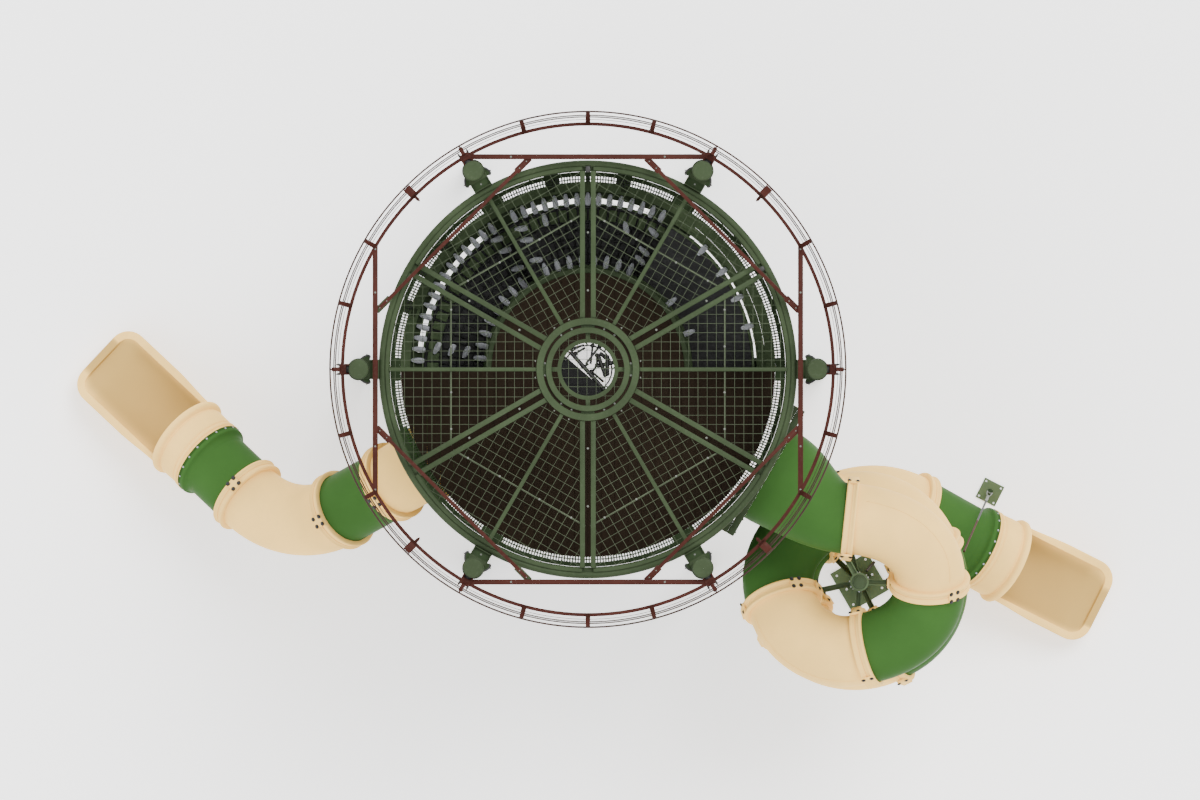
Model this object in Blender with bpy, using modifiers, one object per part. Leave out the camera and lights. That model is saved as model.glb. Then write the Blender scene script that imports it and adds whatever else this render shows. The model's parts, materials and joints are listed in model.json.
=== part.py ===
"""Playground tower: a round drum on six columns, with two tube slides.

Units are metres, +Z is up. The model is laid out around the tower's own axis at
ground level and is then moved so that its footprint is centred on the origin.
"""

import math

import bmesh
import bpy
from mathutils import Matrix, Vector
from mathutils.geometry import interpolate_bezier

# Clearance between neighbours that touch, and the distance at which points merge
GAP = 0.0003
MERGE = 0.00005

# Levels above the ground
LOWER_DECK_Z = 2.24
UPPER_DECK_Z = 4.50
ROOF_Z = 6.60
FRAME_Z = 6.80
COLUMN_TOP_Z = 6.95

# Columns and their brackets
BAYS = 6
COLUMN_CIRCLE = 2.50
COLUMN_RADIUS = 0.1095
COLUMN_SIDES = 16
BRACKET_WIDTH = 0.212
BRACKET_HEIGHT = 0.16

# Drum
RING_STEPS = 48
WALL_INNER = 2.19
WALL_OUTER = 2.20
WALL_BOTTOM_Z = LOWER_DECK_Z - 0.12
DECK_RADIUS = 2.04
DECK_THICKNESS = 0.06
CORE_RADIUS = 1.05
CORE_RIM_WIDTH = 0.062
CORE_RIM_INSET = 0.5
CORE_RIM_RISE = 0.02
DECK_HOLE = 0.333
STRIP_WIDTH = 0.113
STRIP_THICKNESS = 0.006
BEAM_WIDTH = 0.048
BEAM_DEPTH = 0.08

# Roof
RIM_CIRCLE = 2.24
RIM_TUBE = 0.04
RIM_SIDES = 6
RIM_REACH = RIM_CIRCLE + RIM_TUBE * math.cos(math.pi / RIM_SIDES)
LEDGE_INNER = 2.165
LEDGE_DEPTH = 0.03
ROOF_BAR_HEIGHT = 0.06
EDGE_BAR_WIDTH = 0.056
EDGE_BAR_OFFSET = 0.059
MIDDLE_BAR_WIDTH = 0.044
CHORD_WIDTH = 0.012
CHORD_DISTANCE = 1.49
SECTOR_OUTER = 2.19
SECTOR_RIM_WIDTH = 0.03
HUB_STEPS = 24
HUB_OUTER = 0.562
HUB_INNER = 0.396
HUB_SLOT = (0.458, 0.488, 0.04)
HUB_HEIGHT = 0.08
EYE_RING = (0.288, 0.333)
EYE_RISE = 0.02
EYE_DROP = 0.03
EYE_SPOKE = (0.04, 0.018)

# Rust-red frame over the roof
FRAME_BAR = 0.04
SIDE_BAR_DISTANCE = 2.318
SIDE_BAR_HALF = 1.352
DIAGONAL_REACH = 2.938
DIAGONAL_WIDTH = 0.035
SLEEVE = (0.17, 0.065, 0.05)
SLEEVE_INSET = 0.119

# Outer ring with its leaning posts and rails: radius, height, half thickness
MAIN_BAR = 0.014
MAIN_SIDES = 4
MAIN_RING = (2.675, FRAME_Z + MAIN_BAR * math.cos(math.pi / MAIN_SIDES), MAIN_BAR)
RAILS = ((2.760, FRAME_Z + 0.22, 0.010), (2.815, FRAME_Z + 0.34, 0.007))
RAIL_SIDES = 3
RING_POSTS = 24
RING_POST = (0.028, 0.016)
RING_BRACKET = (0.11, 0.05)
RING_BRACKET_RISE = 0.015

# Climbing sheets in the open half: first and last angle, height
NET_INNER = 1.14
NET_OUTER = 1.80
NET_THICKNESS = 0.02
NET_FRAME = 0.06
NET_LAP = 0.02
NET_MARGIN = 1.0
RAMP = (1.0, 59.4, 3.95)
NETS = ((60.5, 119.5, 3.35), (120.5, 179.2, 2.75))
SHELF = (1.935, 2.03, 0.02)
TIE_OFFSET = 11.0
TIE_WIDTH = 0.03

# Rope tube through the deck holes
CORE_NET_RADIUS = 0.27
CORE_NET_WALL = 0.02
CORE_NET_SIDES = 12
CORE_NET_BOTTOM_Z = 0.45
DECK_HOLE_STEP = 15.0

# Tube slides
TUBE_RADIUS = 0.387
BORE_RADIUS = 0.379
COLLAR_RADIUS = 0.445
SOCKET_RADIUS = 0.396
COLLAR_HALF = 0.065
MOUTH_RADIUS = 0.56
TUBE_SIDES = 14
TUBE_FLAT = math.cos(math.pi / TUBE_SIDES)
ELBOW_STEPS = 4

# Port panel at the helical slide
PANEL = (0.08, 1.57, 1.45)
PANEL_INNER = WALL_OUTER + GAP
PANEL_DROP = 0.10
PORT_LIP = 0.01
PORT_SIDES = 24

# Helical slide: its post, and each joint as angle round the post, radius,
# turn of the tube away from square to that radius, slope
POST_AT = Vector((2.960, -2.317, 0.0))
POST_RADIUS = 0.084
POST_SIDES = 20
POST_TOP_Z = 5.15
POST_JOINTS = 9
POST_PLATE = (0.47, 0.47, 0.02)
POST_PLATE_TURN = 30.0
ARM_WIDTH = 0.05
ARM_HEIGHT = 0.04
ARM_BITE = 0.05
HELIX_TOP_Z = UPPER_DECK_Z + TUBE_RADIUS
HELIX_BOTTOM_Z = 1.36
HELIX_JOINTS = (
    (98.5, 0.697, -14.2, 0.0),
    (-0.5, 0.763, 0.5, 26.0),
    (-83.9, 0.727, 7.0, 12.0),
    (-165.3, 0.871, 2.7, 24.0),
    (-254.0, 0.810, 0.0, 16.0),
    (-335.4, 0.780, 0.0, 20.0),
    (-424.0, 0.770, 0.0, 16.0),
    (-508.0, 0.820, 0.0, 20.0),
    (-584.4, 0.800, 0.0, 17.0),
    (-667.8, 0.970, 10.8, 24.0),
)
UPPER_BELL = (4.252, -1.936, 1.03, -27.0, 22.0)
UPPER_END = (5.590, -2.607, 0.73, -27.0, 3.0)
UPPER_MOUTH_TURN = -30.0

# Slide from the lower deck: x, y, z, heading, slope of each joint
COLLAR_LIFT = 0.065
WALL_HOLE_RADIUS = 0.57
LOWER_JOINTS = (
    (-1.734, -1.0095, LOWER_DECK_Z + COLLAR_RADIUS + COLLAR_LIFT, 208.9, 0.0),
    (-2.128, -1.227, 2.585, 208.9, 40.0),
    (-2.680, -1.5325, 2.056, 208.9, 40.0),
    (-3.714, -1.3647, 1.36, 136.4, 25.0),
    (-4.134, -0.9646, 1.07, 136.4, 25.0),
    (-5.341, 0.169, 0.73, 136.4, 4.0),
)
LOWER_MOUTH_LENGTH = 0.42

# Exit chutes
# Exits: a bell with a bead, then an open chute with a broad rim and round corners
BELL_LENGTH = 0.40
BELL_BEAD = (0.486, 0.08)
BELL_BORE = 0.41
CHUTE_START = 0.20
CHUTE_NECK = 0.44
CHUTE_HALF = 0.467
CHUTE_RIM = (0.10, 0.05)
CHUTE_CORNER = 0.22
CHUTE_WALL = 0.012
CHUTE_END_DROP = 0.473
CHUTE_STEPS = 5
CHUTE_ARC = 8
CHUTE_TIP = (1.0, 0.72, 0.52, 0.456, 0.453, 0.2, 0.06, 0.0)

# Strut that holds the helical slide's last straight
STRUT_PLATE = (0.225, 0.225, 0.015)
STRUT_PLATE_AT = Vector((4.383, -1.336, 0.0))
STRUT_PLATE_TURN = -27.0
STRUT_RADIUS = 0.014

COLOURS = {
    "sage_green": ((0.13, 0.20, 0.10, 1), 0.45, 0.2),
    "rust_red": ((0.16, 0.05, 0.03, 1), 0.5, 0.2),
    "deck_brown": ((0.02, 0.011, 0.008, 1), 0.7, 0.0),
    "rope_black": ((0.012, 0.013, 0.016, 1), 0.8, 0.0),
    "slide_green": ((0.09, 0.27, 0.05, 1), 0.35, 0.0),
    "slide_beige": ((0.72, 0.6, 0.43, 1), 0.4, 0.0),
}


def clear_scene():
    for old in list(bpy.data.objects):
        bpy.data.objects.remove(old, do_unlink=True)


def make_material(name):
    colour, roughness, metallic = COLOURS[name]
    material = bpy.data.materials.new(name)
    material.use_nodes = True
    shader = material.node_tree.nodes["Principled BSDF"]
    shader.inputs["Base Color"].default_value = colour
    shader.inputs["Roughness"].default_value = roughness
    shader.inputs["Metallic"].default_value = metallic
    return material


def polar(radius, degrees, z=0.0):
    angle = math.radians(degrees)
    return Vector((radius * math.cos(angle), radius * math.sin(angle), z))


def link(name, data):
    obj = bpy.data.objects.new(name, data)
    PARTS.objects.link(obj)
    return obj


def finish(obj, colour):
    """Give a part its material and hang it on the tower's own frame."""
    obj.data.materials.clear()
    obj.data.materials.append(MATERIALS[colour])
    obj.parent = TOWER
    return obj


def drop(obj):
    bpy.data.objects.remove(obj, do_unlink=True)


def settled(obj):
    """Swap an object for a plain mesh of what it looks like now."""
    bpy.context.view_layer.update()
    graph = bpy.context.evaluated_depsgraph_get()
    mesh = bpy.data.meshes.new_from_object(obj.evaluated_get(graph))
    bm = bmesh.new()
    bm.from_mesh(mesh)
    bmesh.ops.remove_doubles(bm, verts=bm.verts, dist=MERGE)
    bmesh.ops.recalc_face_normals(bm, faces=bm.faces)
    bm.to_mesh(mesh)
    bm.free()
    name = obj.name
    matrix = obj.matrix_world.copy()
    drop(obj)
    fresh = link(name, mesh)
    fresh.matrix_world = matrix
    return fresh


def swung(obj, degrees):
    """Turn a part about the tower's axis."""
    obj.matrix_world = Matrix.Rotation(math.radians(degrees), 4, "Z") @ obj.matrix_world
    return obj


def combine(target, tools, operation):
    """Join or cut a part with others, which are used up."""
    for tool in tools:
        modifier = target.modifiers.new(operation.title(), "BOOLEAN")
        modifier.operation = operation
        modifier.solver = "EXACT"
        modifier.object = tool
    result = settled(target)
    for tool in tools:
        drop(tool)
    return result


def box(name, size, centre, turn=0.0):
    """A block with its size along its own axes, turned about Z."""
    bm = bmesh.new()
    bmesh.ops.create_cube(bm, size=1.0)
    bmesh.ops.scale(bm, vec=Vector(size), verts=bm.verts)
    mesh = bpy.data.meshes.new(name)
    bm.to_mesh(mesh)
    bm.free()
    obj = link(name, mesh)
    obj.location = centre
    obj.rotation_euler = (0.0, 0.0, math.radians(turn))
    return obj


def rod(name, start, end, radius, sides):
    """A round bar between two points."""
    start, end = Vector(start), Vector(end)
    bm = bmesh.new()
    bmesh.ops.create_cone(bm, cap_ends=True, segments=sides, radius1=radius, radius2=radius,
                          depth=(end - start).length)
    mesh = bpy.data.meshes.new(name)
    bm.to_mesh(mesh)
    bm.free()
    obj = link(name, mesh)
    obj.rotation_mode = "QUATERNION"
    obj.rotation_quaternion = (end - start).to_track_quat("Z", "Y")
    obj.location = (start + end) / 2
    return obj


def flat_bar(name, start, end, width, height):
    """A square-cut bar between two points, with its height upright."""
    start, end = Vector(start), Vector(end)
    obj = box(name, ((end - start).length, width, height), (start + end) / 2)
    obj.rotation_mode = "QUATERNION"
    obj.rotation_quaternion = (end - start).to_track_quat("X", "Z")
    return obj


def arc(radius, first, last, step=360.0 / RING_STEPS):
    """Points on a circle: both ends, and each whole step between them."""
    angles = [first]
    count = math.floor(first / step) + 1
    while count * step < last - 0.01:
        if count * step > first + 0.01:
            angles.append(count * step)
        count += 1
    angles.append(last)
    return [polar(radius, angle) for angle in angles]


def circle(radius, step=360.0 / RING_STEPS):
    return arc(radius, 0.0, 360.0, step)[:-1]


def plate(name, outlines, bottom, top):
    """A flat outline, with any holes, given a thickness."""
    curve = bpy.data.curves.new(name, "CURVE")
    curve.dimensions = "2D"
    curve.fill_mode = "BOTH"
    curve.extrude = (top - bottom) / 2
    for outline in outlines:
        spline = curve.splines.new("POLY")
        spline.points.add(len(outline) - 1)
        for point, place in zip(spline.points, outline):
            point.co = (place.x, place.y, 0.0, 1.0)
        spline.use_cyclic_u = True
    obj = link(name, curve)
    obj.location.z = (top + bottom) / 2
    return settled(obj)


def arc_plate(name, inner, outer, first, last, bottom, top):
    outline = arc(outer, first, last) + list(reversed(arc(inner, first, last)))
    return plate(name, [outline], bottom, top)


def turned_ring(name, profile, steps=RING_STEPS):
    """A closed section, given as radius and height, turned round the axis."""
    bm = bmesh.new()
    points = [bm.verts.new((radius, 0.0, z)) for radius, z in profile]
    for here, there in zip(points, points[1:] + points[:1]):
        bm.edges.new((here, there))
    mesh = bpy.data.meshes.new(name)
    bm.to_mesh(mesh)
    bm.free()
    obj = link(name, mesh)
    screw = obj.modifiers.new("Turn", "SCREW")
    screw.axis = "Z"
    screw.angle = math.tau
    screw.steps = steps
    screw.render_steps = steps
    screw.use_merge_vertices = True
    screw.merge_threshold = MERGE
    return settled(obj)


def round_section(circle_radius, z, radius, sides):
    """A many-sided ring section, as radius and height."""
    angles = [math.tau * (index + 0.5) / sides for index in range(sides)]
    return [(circle_radius + radius * math.cos(a), z + radius * math.sin(a)) for a in angles]


def loft(name, rings, hollow):
    """A body through rings of centre, direction and radius.

    A hollow body's rings run along its outside and back through its bore. A solid
    one is closed by a flat face at each end.
    """
    bm = bmesh.new()
    loops = []
    for centre, towards, radius in rings:
        across = towards.cross(Vector((0, 0, 1))).normalized()
        upward = across.cross(towards)
        loop = []
        for index in range(TUBE_SIDES):
            angle = math.tau * index / TUBE_SIDES
            place = centre + (across * math.cos(angle) + upward * math.sin(angle)) * radius
            loop.append(bm.verts.new(place))
        loops.append(loop)
    followers = loops[1:] + loops[:1] if hollow else loops[1:]
    for here, there in zip(loops, followers):
        for index in range(TUBE_SIDES):
            after = (index + 1) % TUBE_SIDES
            bm.faces.new((here[index], here[after], there[after], there[index]))
    if not hollow:
        bm.faces.new(loops[0])
        bm.faces.new(loops[-1])
    bmesh.ops.recalc_face_normals(bm, faces=bm.faces)
    mesh = bpy.data.meshes.new(name)
    bm.to_mesh(mesh)
    bm.free()
    return link(name, mesh)


def grouped(name, pieces):
    """Several separate solids as one mesh object."""
    bm = bmesh.new()
    for piece in pieces:
        bpy.context.view_layer.update()
        mesh = piece.data.copy()
        mesh.transform(piece.matrix_world)
        bm.from_mesh(mesh)
        drop(piece)
    mesh = bpy.data.meshes.new(name)
    bm.to_mesh(mesh)
    bm.free()
    return link(name, mesh)


# Columns

def make_column(index):
    """A column with a bracket at each deck and at the roof's rim."""
    column = rod(f"column_{index + 1}", polar(COLUMN_CIRCLE, 0.0),
                 polar(COLUMN_CIRCLE, 0.0, COLUMN_TOP_Z), COLUMN_RADIUS, COLUMN_SIDES)
    brackets = []
    deck_end = DECK_RADIUS + GAP + STRIP_WIDTH + GAP
    rim_end = RIM_REACH + GAP
    for z, inner in ((LOWER_DECK_Z, deck_end), (UPPER_DECK_Z, deck_end), (ROOF_Z, rim_end)):
        reach = COLUMN_CIRCLE - inner
        centre = polar(inner + reach / 2, 0.0, z)
        brackets.append(box("bracket", (reach, BRACKET_WIDTH, BRACKET_HEIGHT), centre))
    column = combine(column, brackets, "UNION")
    return finish(swung(column, index * 360.0 / BAYS), "sage_green")


# Drum

def make_ring_beam(name, z):
    inner = DECK_RADIUS + GAP
    outer = inner + STRIP_WIDTH
    profile = [(inner, z), (outer, z), (outer, z - BEAM_DEPTH),
               (outer - BEAM_WIDTH, z - BEAM_DEPTH), (outer - BEAM_WIDTH, z - STRIP_THICKNESS),
               (inner, z - STRIP_THICKNESS)]
    return finish(turned_ring(name, profile), "sage_green")


def make_deck(name, z):
    outline = arc(DECK_RADIUS, 180.0, 360.0) + arc(CORE_RADIUS, 0.0, 180.0)
    hole = circle(DECK_HOLE, DECK_HOLE_STEP)
    deck = plate(name, [outline, hole], z - DECK_THICKNESS, z)
    return finish(deck, "deck_brown")


def make_core_rim():
    inner = CORE_RADIUS + GAP
    rim = arc_plate("core_rim", inner, inner + CORE_RIM_WIDTH, CORE_RIM_INSET,
                    180.0 - CORE_RIM_INSET, UPPER_DECK_Z - DECK_THICKNESS,
                    UPPER_DECK_Z + CORE_RIM_RISE)
    return finish(rim, "sage_green")


def make_wall(index, cutters):
    side = math.degrees(math.asin((BRACKET_WIDTH / 2 + GAP) / WALL_INNER))
    first = index * 360.0 / BAYS + side
    last = (index + 1) * 360.0 / BAYS - side
    wall = arc_plate(f"wall_{index + 1}", WALL_INNER, WALL_OUTER, first, last,
                     WALL_BOTTOM_Z, ROOF_Z - LEDGE_DEPTH - GAP)
    if cutters:
        wall = combine(wall, cutters, "DIFFERENCE")
    return finish(wall, "sage_green")


# Climbing sheets

def wall_reach(degrees, half_width):
    """How far a square-cut bar can run before it meets the wall's inner face."""
    step = 360.0 / RING_STEPS
    off = math.radians((degrees % step) - step / 2)
    face = WALL_INNER * math.cos(math.radians(step / 2)) / math.cos(off)
    return face - half_width * math.tan(abs(off)) - GAP


def make_climbing_sheet(name, first, last, z):
    sheet = arc_plate(name, NET_INNER, NET_OUTER, first + NET_MARGIN, last - NET_MARGIN,
                      z - NET_THICKNESS / 2, z + NET_THICKNESS / 2)
    frame = arc_plate("frame", NET_OUTER - NET_LAP, NET_OUTER + NET_FRAME, first, last,
                      z - NET_FRAME / 2, z + NET_FRAME / 2)
    inner = arc_plate("inner", NET_INNER - NET_FRAME / 2, NET_INNER + NET_LAP, first, last,
                      z - NET_FRAME / 2, z + NET_FRAME / 2)
    half_bay = 180.0 / BAYS
    middle = half_bay * round((first + last) / 2 / half_bay)
    ties = []
    for angle in (middle - TIE_OFFSET, middle + TIE_OFFSET):
        ties.append(flat_bar("tie", polar(NET_OUTER + NET_LAP / 2, angle, z),
                             polar(wall_reach(angle, TIE_WIDTH / 2), angle, z),
                             TIE_WIDTH, TIE_WIDTH))
    shelf = arc_plate("shelf", SHELF[0], SHELF[1], first, last, z - SHELF[2] / 2,
                      z + SHELF[2] / 2)
    return finish(combine(sheet, [frame, inner, shelf] + ties, "UNION"), "rope_black")


def make_core_net():
    """A hanging rope tube with a collar that fills each deck's hole round it."""
    shell = rod("core_net", (0, 0, CORE_NET_BOTTOM_Z),
                (0, 0, UPPER_DECK_Z - DECK_THICKNESS / 2), CORE_NET_RADIUS, CORE_NET_SIDES)
    collars = []
    for top in (LOWER_DECK_Z, UPPER_DECK_Z):
        collars.append(plate("collar", [circle(DECK_HOLE - GAP, DECK_HOLE_STEP)],
                             top - DECK_THICKNESS, top))
    bore = rod("bore", (0, 0, 0), (0, 0, UPPER_DECK_Z + 1), CORE_NET_RADIUS - CORE_NET_WALL,
               CORE_NET_SIDES)
    shell = combine(shell, collars, "UNION")
    return finish(combine(shell, [bore], "DIFFERENCE"), "rope_black")


# Roof

def make_roof_rim():
    """The round tube, with an inner ledge for the roof's frames and the wall's top."""
    rim = turned_ring("roof_rim", round_section(RIM_CIRCLE, ROOF_Z, RIM_TUBE, RIM_SIDES))
    outer, low = RIM_CIRCLE - RIM_TUBE / 2, ROOF_Z - LEDGE_DEPTH
    ledge = turned_ring("ledge", [(LEDGE_INNER, ROOF_Z), (outer, ROOF_Z), (outer, low),
                                  (LEDGE_INNER, low)])
    return finish(combine(rim, [ledge], "UNION"), "sage_green")


def make_roof_hub():
    """A slotted ring with a smaller ring on four short spokes inside it."""
    bottom = ROOF_Z + GAP
    top = bottom + HUB_HEIGHT
    slot_inner, slot_outer, slot_depth = HUB_SLOT
    web = turned_ring("roof_hub", [(HUB_INNER, bottom), (HUB_OUTER, bottom), (HUB_OUTER, top),
                                   (slot_outer, top), (slot_outer, top - slot_depth),
                                   (slot_inner, top - slot_depth), (slot_inner, top),
                                   (HUB_INNER, top)], HUB_STEPS)
    eye_inner, eye_outer = EYE_RING
    eye = turned_ring("eye", [(eye_inner, bottom - EYE_DROP), (eye_outer, bottom - EYE_DROP),
                              (eye_outer, bottom + EYE_RISE), (eye_inner, bottom + EYE_RISE)],
                      HUB_STEPS)
    spokes = []
    for turn in range(0, 360, 90):
        spokes.append(flat_bar("spoke", polar(eye_outer - EYE_RISE, turn, bottom + EYE_RISE / 2),
                               polar(HUB_INNER + EYE_RISE, turn, bottom + EYE_RISE / 2),
                               *EYE_SPOKE))
    return finish(combine(web, [eye] + spokes, "UNION"), "sage_green")


def make_roof_sector(index):
    """One welded frame: two edge bars, a middle bar, a chord and an outer arc."""
    turn = index * 360.0 / BAYS
    half = 180.0 / BAYS
    z = ROOF_Z + GAP + ROOF_BAR_HEIGHT / 2
    name = f"roof_sector_{index + 1}"
    inner_end = HUB_OUTER - EDGE_BAR_OFFSET
    outer_end = SECTOR_OUTER - SECTOR_RIM_WIDTH / 2
    slim = ROOF_BAR_HEIGHT / 3
    middle = flat_bar(name, polar(inner_end, turn, z), polar(outer_end, turn, z),
                      MIDDLE_BAR_WIDTH, ROOF_BAR_HEIGHT)
    bars = []
    chord_half = CHORD_DISTANCE * math.tan(math.radians(half)) - EDGE_BAR_OFFSET / 2
    for side in (-1, 1):
        edge = turn + side * half
        shift = polar(EDGE_BAR_OFFSET, edge - side * 90.0)
        bars.append(flat_bar("edge", polar(inner_end, edge, z) + shift,
                             polar(outer_end, edge, z) + shift, EDGE_BAR_WIDTH,
                             ROOF_BAR_HEIGHT))
    along = polar(1.0, turn + 90.0)
    centre = polar(CHORD_DISTANCE, turn, z)
    bars.append(flat_bar("chord", centre - along * chord_half, centre + along * chord_half,
                         CHORD_WIDTH, slim * 2))
    inset = math.degrees((EDGE_BAR_OFFSET - EDGE_BAR_WIDTH / 2) / SECTOR_OUTER)
    bars.append(arc_plate("rim", SECTOR_OUTER - SECTOR_RIM_WIDTH, SECTOR_OUTER,
                          turn - half + inset, turn + half - inset, z - slim, z + slim))
    sector = combine(middle, bars, "UNION")
    cutter = rod("hub_space", (0, 0, ROOF_Z - 1), (0, 0, ROOF_Z + 1), HUB_OUTER + GAP, HUB_STEPS)
    return finish(combine(sector, [cutter], "DIFFERENCE"), "sage_green")


# Rust-red frame

def make_side_bar(name, turn):
    z = FRAME_Z - GAP - FRAME_BAR / 2
    across = polar(1.0, turn + 90.0)
    centre = polar(SIDE_BAR_DISTANCE, turn, z)
    bar = flat_bar(name, centre - across * SIDE_BAR_HALF, centre + across * SIDE_BAR_HALF,
                   FRAME_BAR, FRAME_BAR)
    return finish(bar, "rust_red")


def make_diagonal_bar(name, turn):
    """A bar across a corner, cut to meet the two side bars."""
    face = SIDE_BAR_DISTANCE - FRAME_BAR / 2 - GAP
    half = DIAGONAL_WIDTH / 2 * math.sqrt(2)
    outline = []
    for reach in (DIAGONAL_REACH - half, DIAGONAL_REACH + half):
        ends = [Vector((face, reach - face, 0)), Vector((reach - face, face, 0))]
        outline += ends if reach < DIAGONAL_REACH else reversed(ends)
    top = FRAME_Z - GAP
    bar = plate(name, [outline], top - DIAGONAL_WIDTH, top)
    sleeves = []
    for here in (Vector((face, DIAGONAL_REACH - face, 0)), Vector((DIAGONAL_REACH - face, face, 0))):
        towards = Vector((DIAGONAL_REACH / 2, DIAGONAL_REACH / 2, 0)) - here
        centre = here + towards.normalized() * SLEEVE_INSET
        centre.z = top - DIAGONAL_WIDTH / 2
        sleeves.append(box("sleeve", SLEEVE, centre, -45.0))
    return finish(swung(combine(bar, sleeves, "UNION"), turn), "rust_red")


def make_guide_ring():
    """The outer ring, its rails and its leaning posts, as one welded piece."""
    rings = [turned_ring("guide_ring", round_section(*MAIN_RING, MAIN_SIDES))]
    for rail in RAILS:
        rings.append(turned_ring("rail", round_section(*rail, RAIL_SIDES)))
    body = grouped("guide_ring", rings)
    foot = Vector((MAIN_RING[0] - MAIN_BAR / 2, 0, MAIN_RING[1]))
    head = Vector((RAILS[-1][0], 0, RAILS[-1][1]))
    posts = []
    for index in range(RING_POSTS):
        turn = index * 360.0 / RING_POSTS
        swing = Matrix.Rotation(math.radians(turn), 3, "Z")
        posts.append(flat_bar("post", swing @ foot, swing @ head, *RING_POST))
    body = combine(body, [grouped("posts", posts)], "UNION")
    inner, outer = COLUMN_CIRCLE + COLUMN_RADIUS + GAP, MAIN_RING[0]
    brackets = []
    for index in range(BAYS):
        turn = index * 360.0 / BAYS
        centre = polar((inner + outer) / 2, turn, MAIN_RING[1] + RING_BRACKET_RISE)
        brackets.append(box("bracket", (outer - inner, *RING_BRACKET), centre, turn))
    return finish(combine(body, [grouped("brackets", brackets)], "UNION"), "rust_red")


# Tube slides

def heading(degrees, slope):
    flat = math.cos(math.radians(slope))
    level = polar(flat, degrees)
    return Vector((level.x, level.y, -math.sin(math.radians(slope))))


def joint(x, y, z, degrees, slope):
    return Vector((x, y, z)), heading(degrees, slope)


def bend(start, end, steps):
    """Centres and directions between two joints, straight for a collar at each end."""
    (p0, t0), (p1, t1) = start, end
    near, far = p0 + t0 * COLLAR_HALF, p1 - t1 * COLLAR_HALF
    reach = (far - near).length / (3.0 * math.cos(t0.angle(t1) / 4) ** 2)
    handles = near + t0 * reach, far - t1 * reach
    points = interpolate_bezier(near, handles[0], handles[1], far, steps + 1)
    spots = [(near, t0)]
    for before, here, after in zip(points, points[1:], points[2:]):
        spots.append((here, (after - before).normalized()))
    spots.append((far, t1))
    return spots


def collar_end(place, towards):
    """Rings of one end of a section with a collar, from its wall to its bore.

    The collar reaches over the neighbour, whose end stands in the socket.
    """
    return [(place - towards * COLLAR_HALF, towards, COLLAR_RADIUS),
            (place - towards * COLLAR_HALF, towards, SOCKET_RADIUS),
            (place, towards, SOCKET_RADIUS),
            (place, towards, BORE_RADIUS)]


def tube(name, start, end, steps, collars, colour):
    """One slide section, with a collar over each neighbour's end or plain ends."""
    (p0, t0), (p1, t1) = start, end
    middle = bend(start, end, steps)
    skin = [(place, towards, TUBE_RADIUS) for place, towards in middle]
    bore = [(place, towards, BORE_RADIUS) for place, towards in reversed(middle)]
    if collars:
        first, last = collar_end(p0, t0), collar_end(p1, -t1)
        last = [(place, t1, radius) for place, _, radius in last]
        near = [(p0 + t0 * COLLAR_HALF, t0, COLLAR_RADIUS)]
        far = [(p1 - t1 * COLLAR_HALF, t1, COLLAR_RADIUS)]
        rings = near + skin + far + last + bore + list(reversed(first))
    else:
        p0, p1 = p0 + t0 * GAP, p1 - t1 * GAP
        rings = [(p0, t0, TUBE_RADIUS)] + skin + [(p1, t1, TUBE_RADIUS)]
        rings += [(p1, t1, BORE_RADIUS)] + bore + [(p0, t0, BORE_RADIUS)]
    return finish(loft(name, rings, True), colour)


def make_mouth(name, start, end, floor):
    """A flared entrance that stands on the floor at its mouth and narrows to the tube."""
    middle = bend(start, end, ELBOW_STEPS)
    spots = [start] + middle[1:-1] + [(end[0] - end[1] * COLLAR_HALF, end[1]),
                                      (end[0] - end[1] * GAP, end[1])]
    narrow = len(spots) - 2
    mouth_rise = floor + MOUTH_RADIUS * TUBE_FLAT + GAP - end[0].z
    skin = []
    for index, (place, towards) in enumerate(spots):
        share = min(1.0, index / narrow)
        ease = share * share * (3 - 2 * share)
        radius = MOUTH_RADIUS + (TUBE_RADIUS - MOUTH_RADIUS) * ease
        skin.append((place + Vector((0, 0, mouth_rise * (1 - ease))), towards, radius))
    wall = TUBE_RADIUS - BORE_RADIUS
    bore = [(place, towards, radius - wall) for place, towards, radius in reversed(skin)]
    return finish(loft(name, skin + bore, True), "slide_green")


def eased(value):
    value = min(1.0, max(0.0, value))
    return value * value * (3 - 2 * value)


def chute_centre(start, end, reach, length):
    """Height of the tube's centre line: straight in the bell, then levelling out."""
    (p0, t0), (p1, t1) = start, end
    falls = [t.z / math.hypot(t.x, t.y) for t in (t0, t1)]
    bell = BELL_LENGTH * math.hypot(t0.x, t0.y)
    if reach <= bell:
        return p0.z + reach * falls[0]
    s = (reach - bell) / (length - bell)
    z = (2 * s ** 3 - 3 * s ** 2 + 1) * (p0.z + bell * falls[0])
    z += (s ** 3 - 2 * s ** 2 + s) * (length - bell) * falls[0]
    z += (3 * s ** 2 - 2 * s ** 3) * p1.z
    return z + (s ** 3 - s ** 2) * (length - bell) * falls[1]


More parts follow.
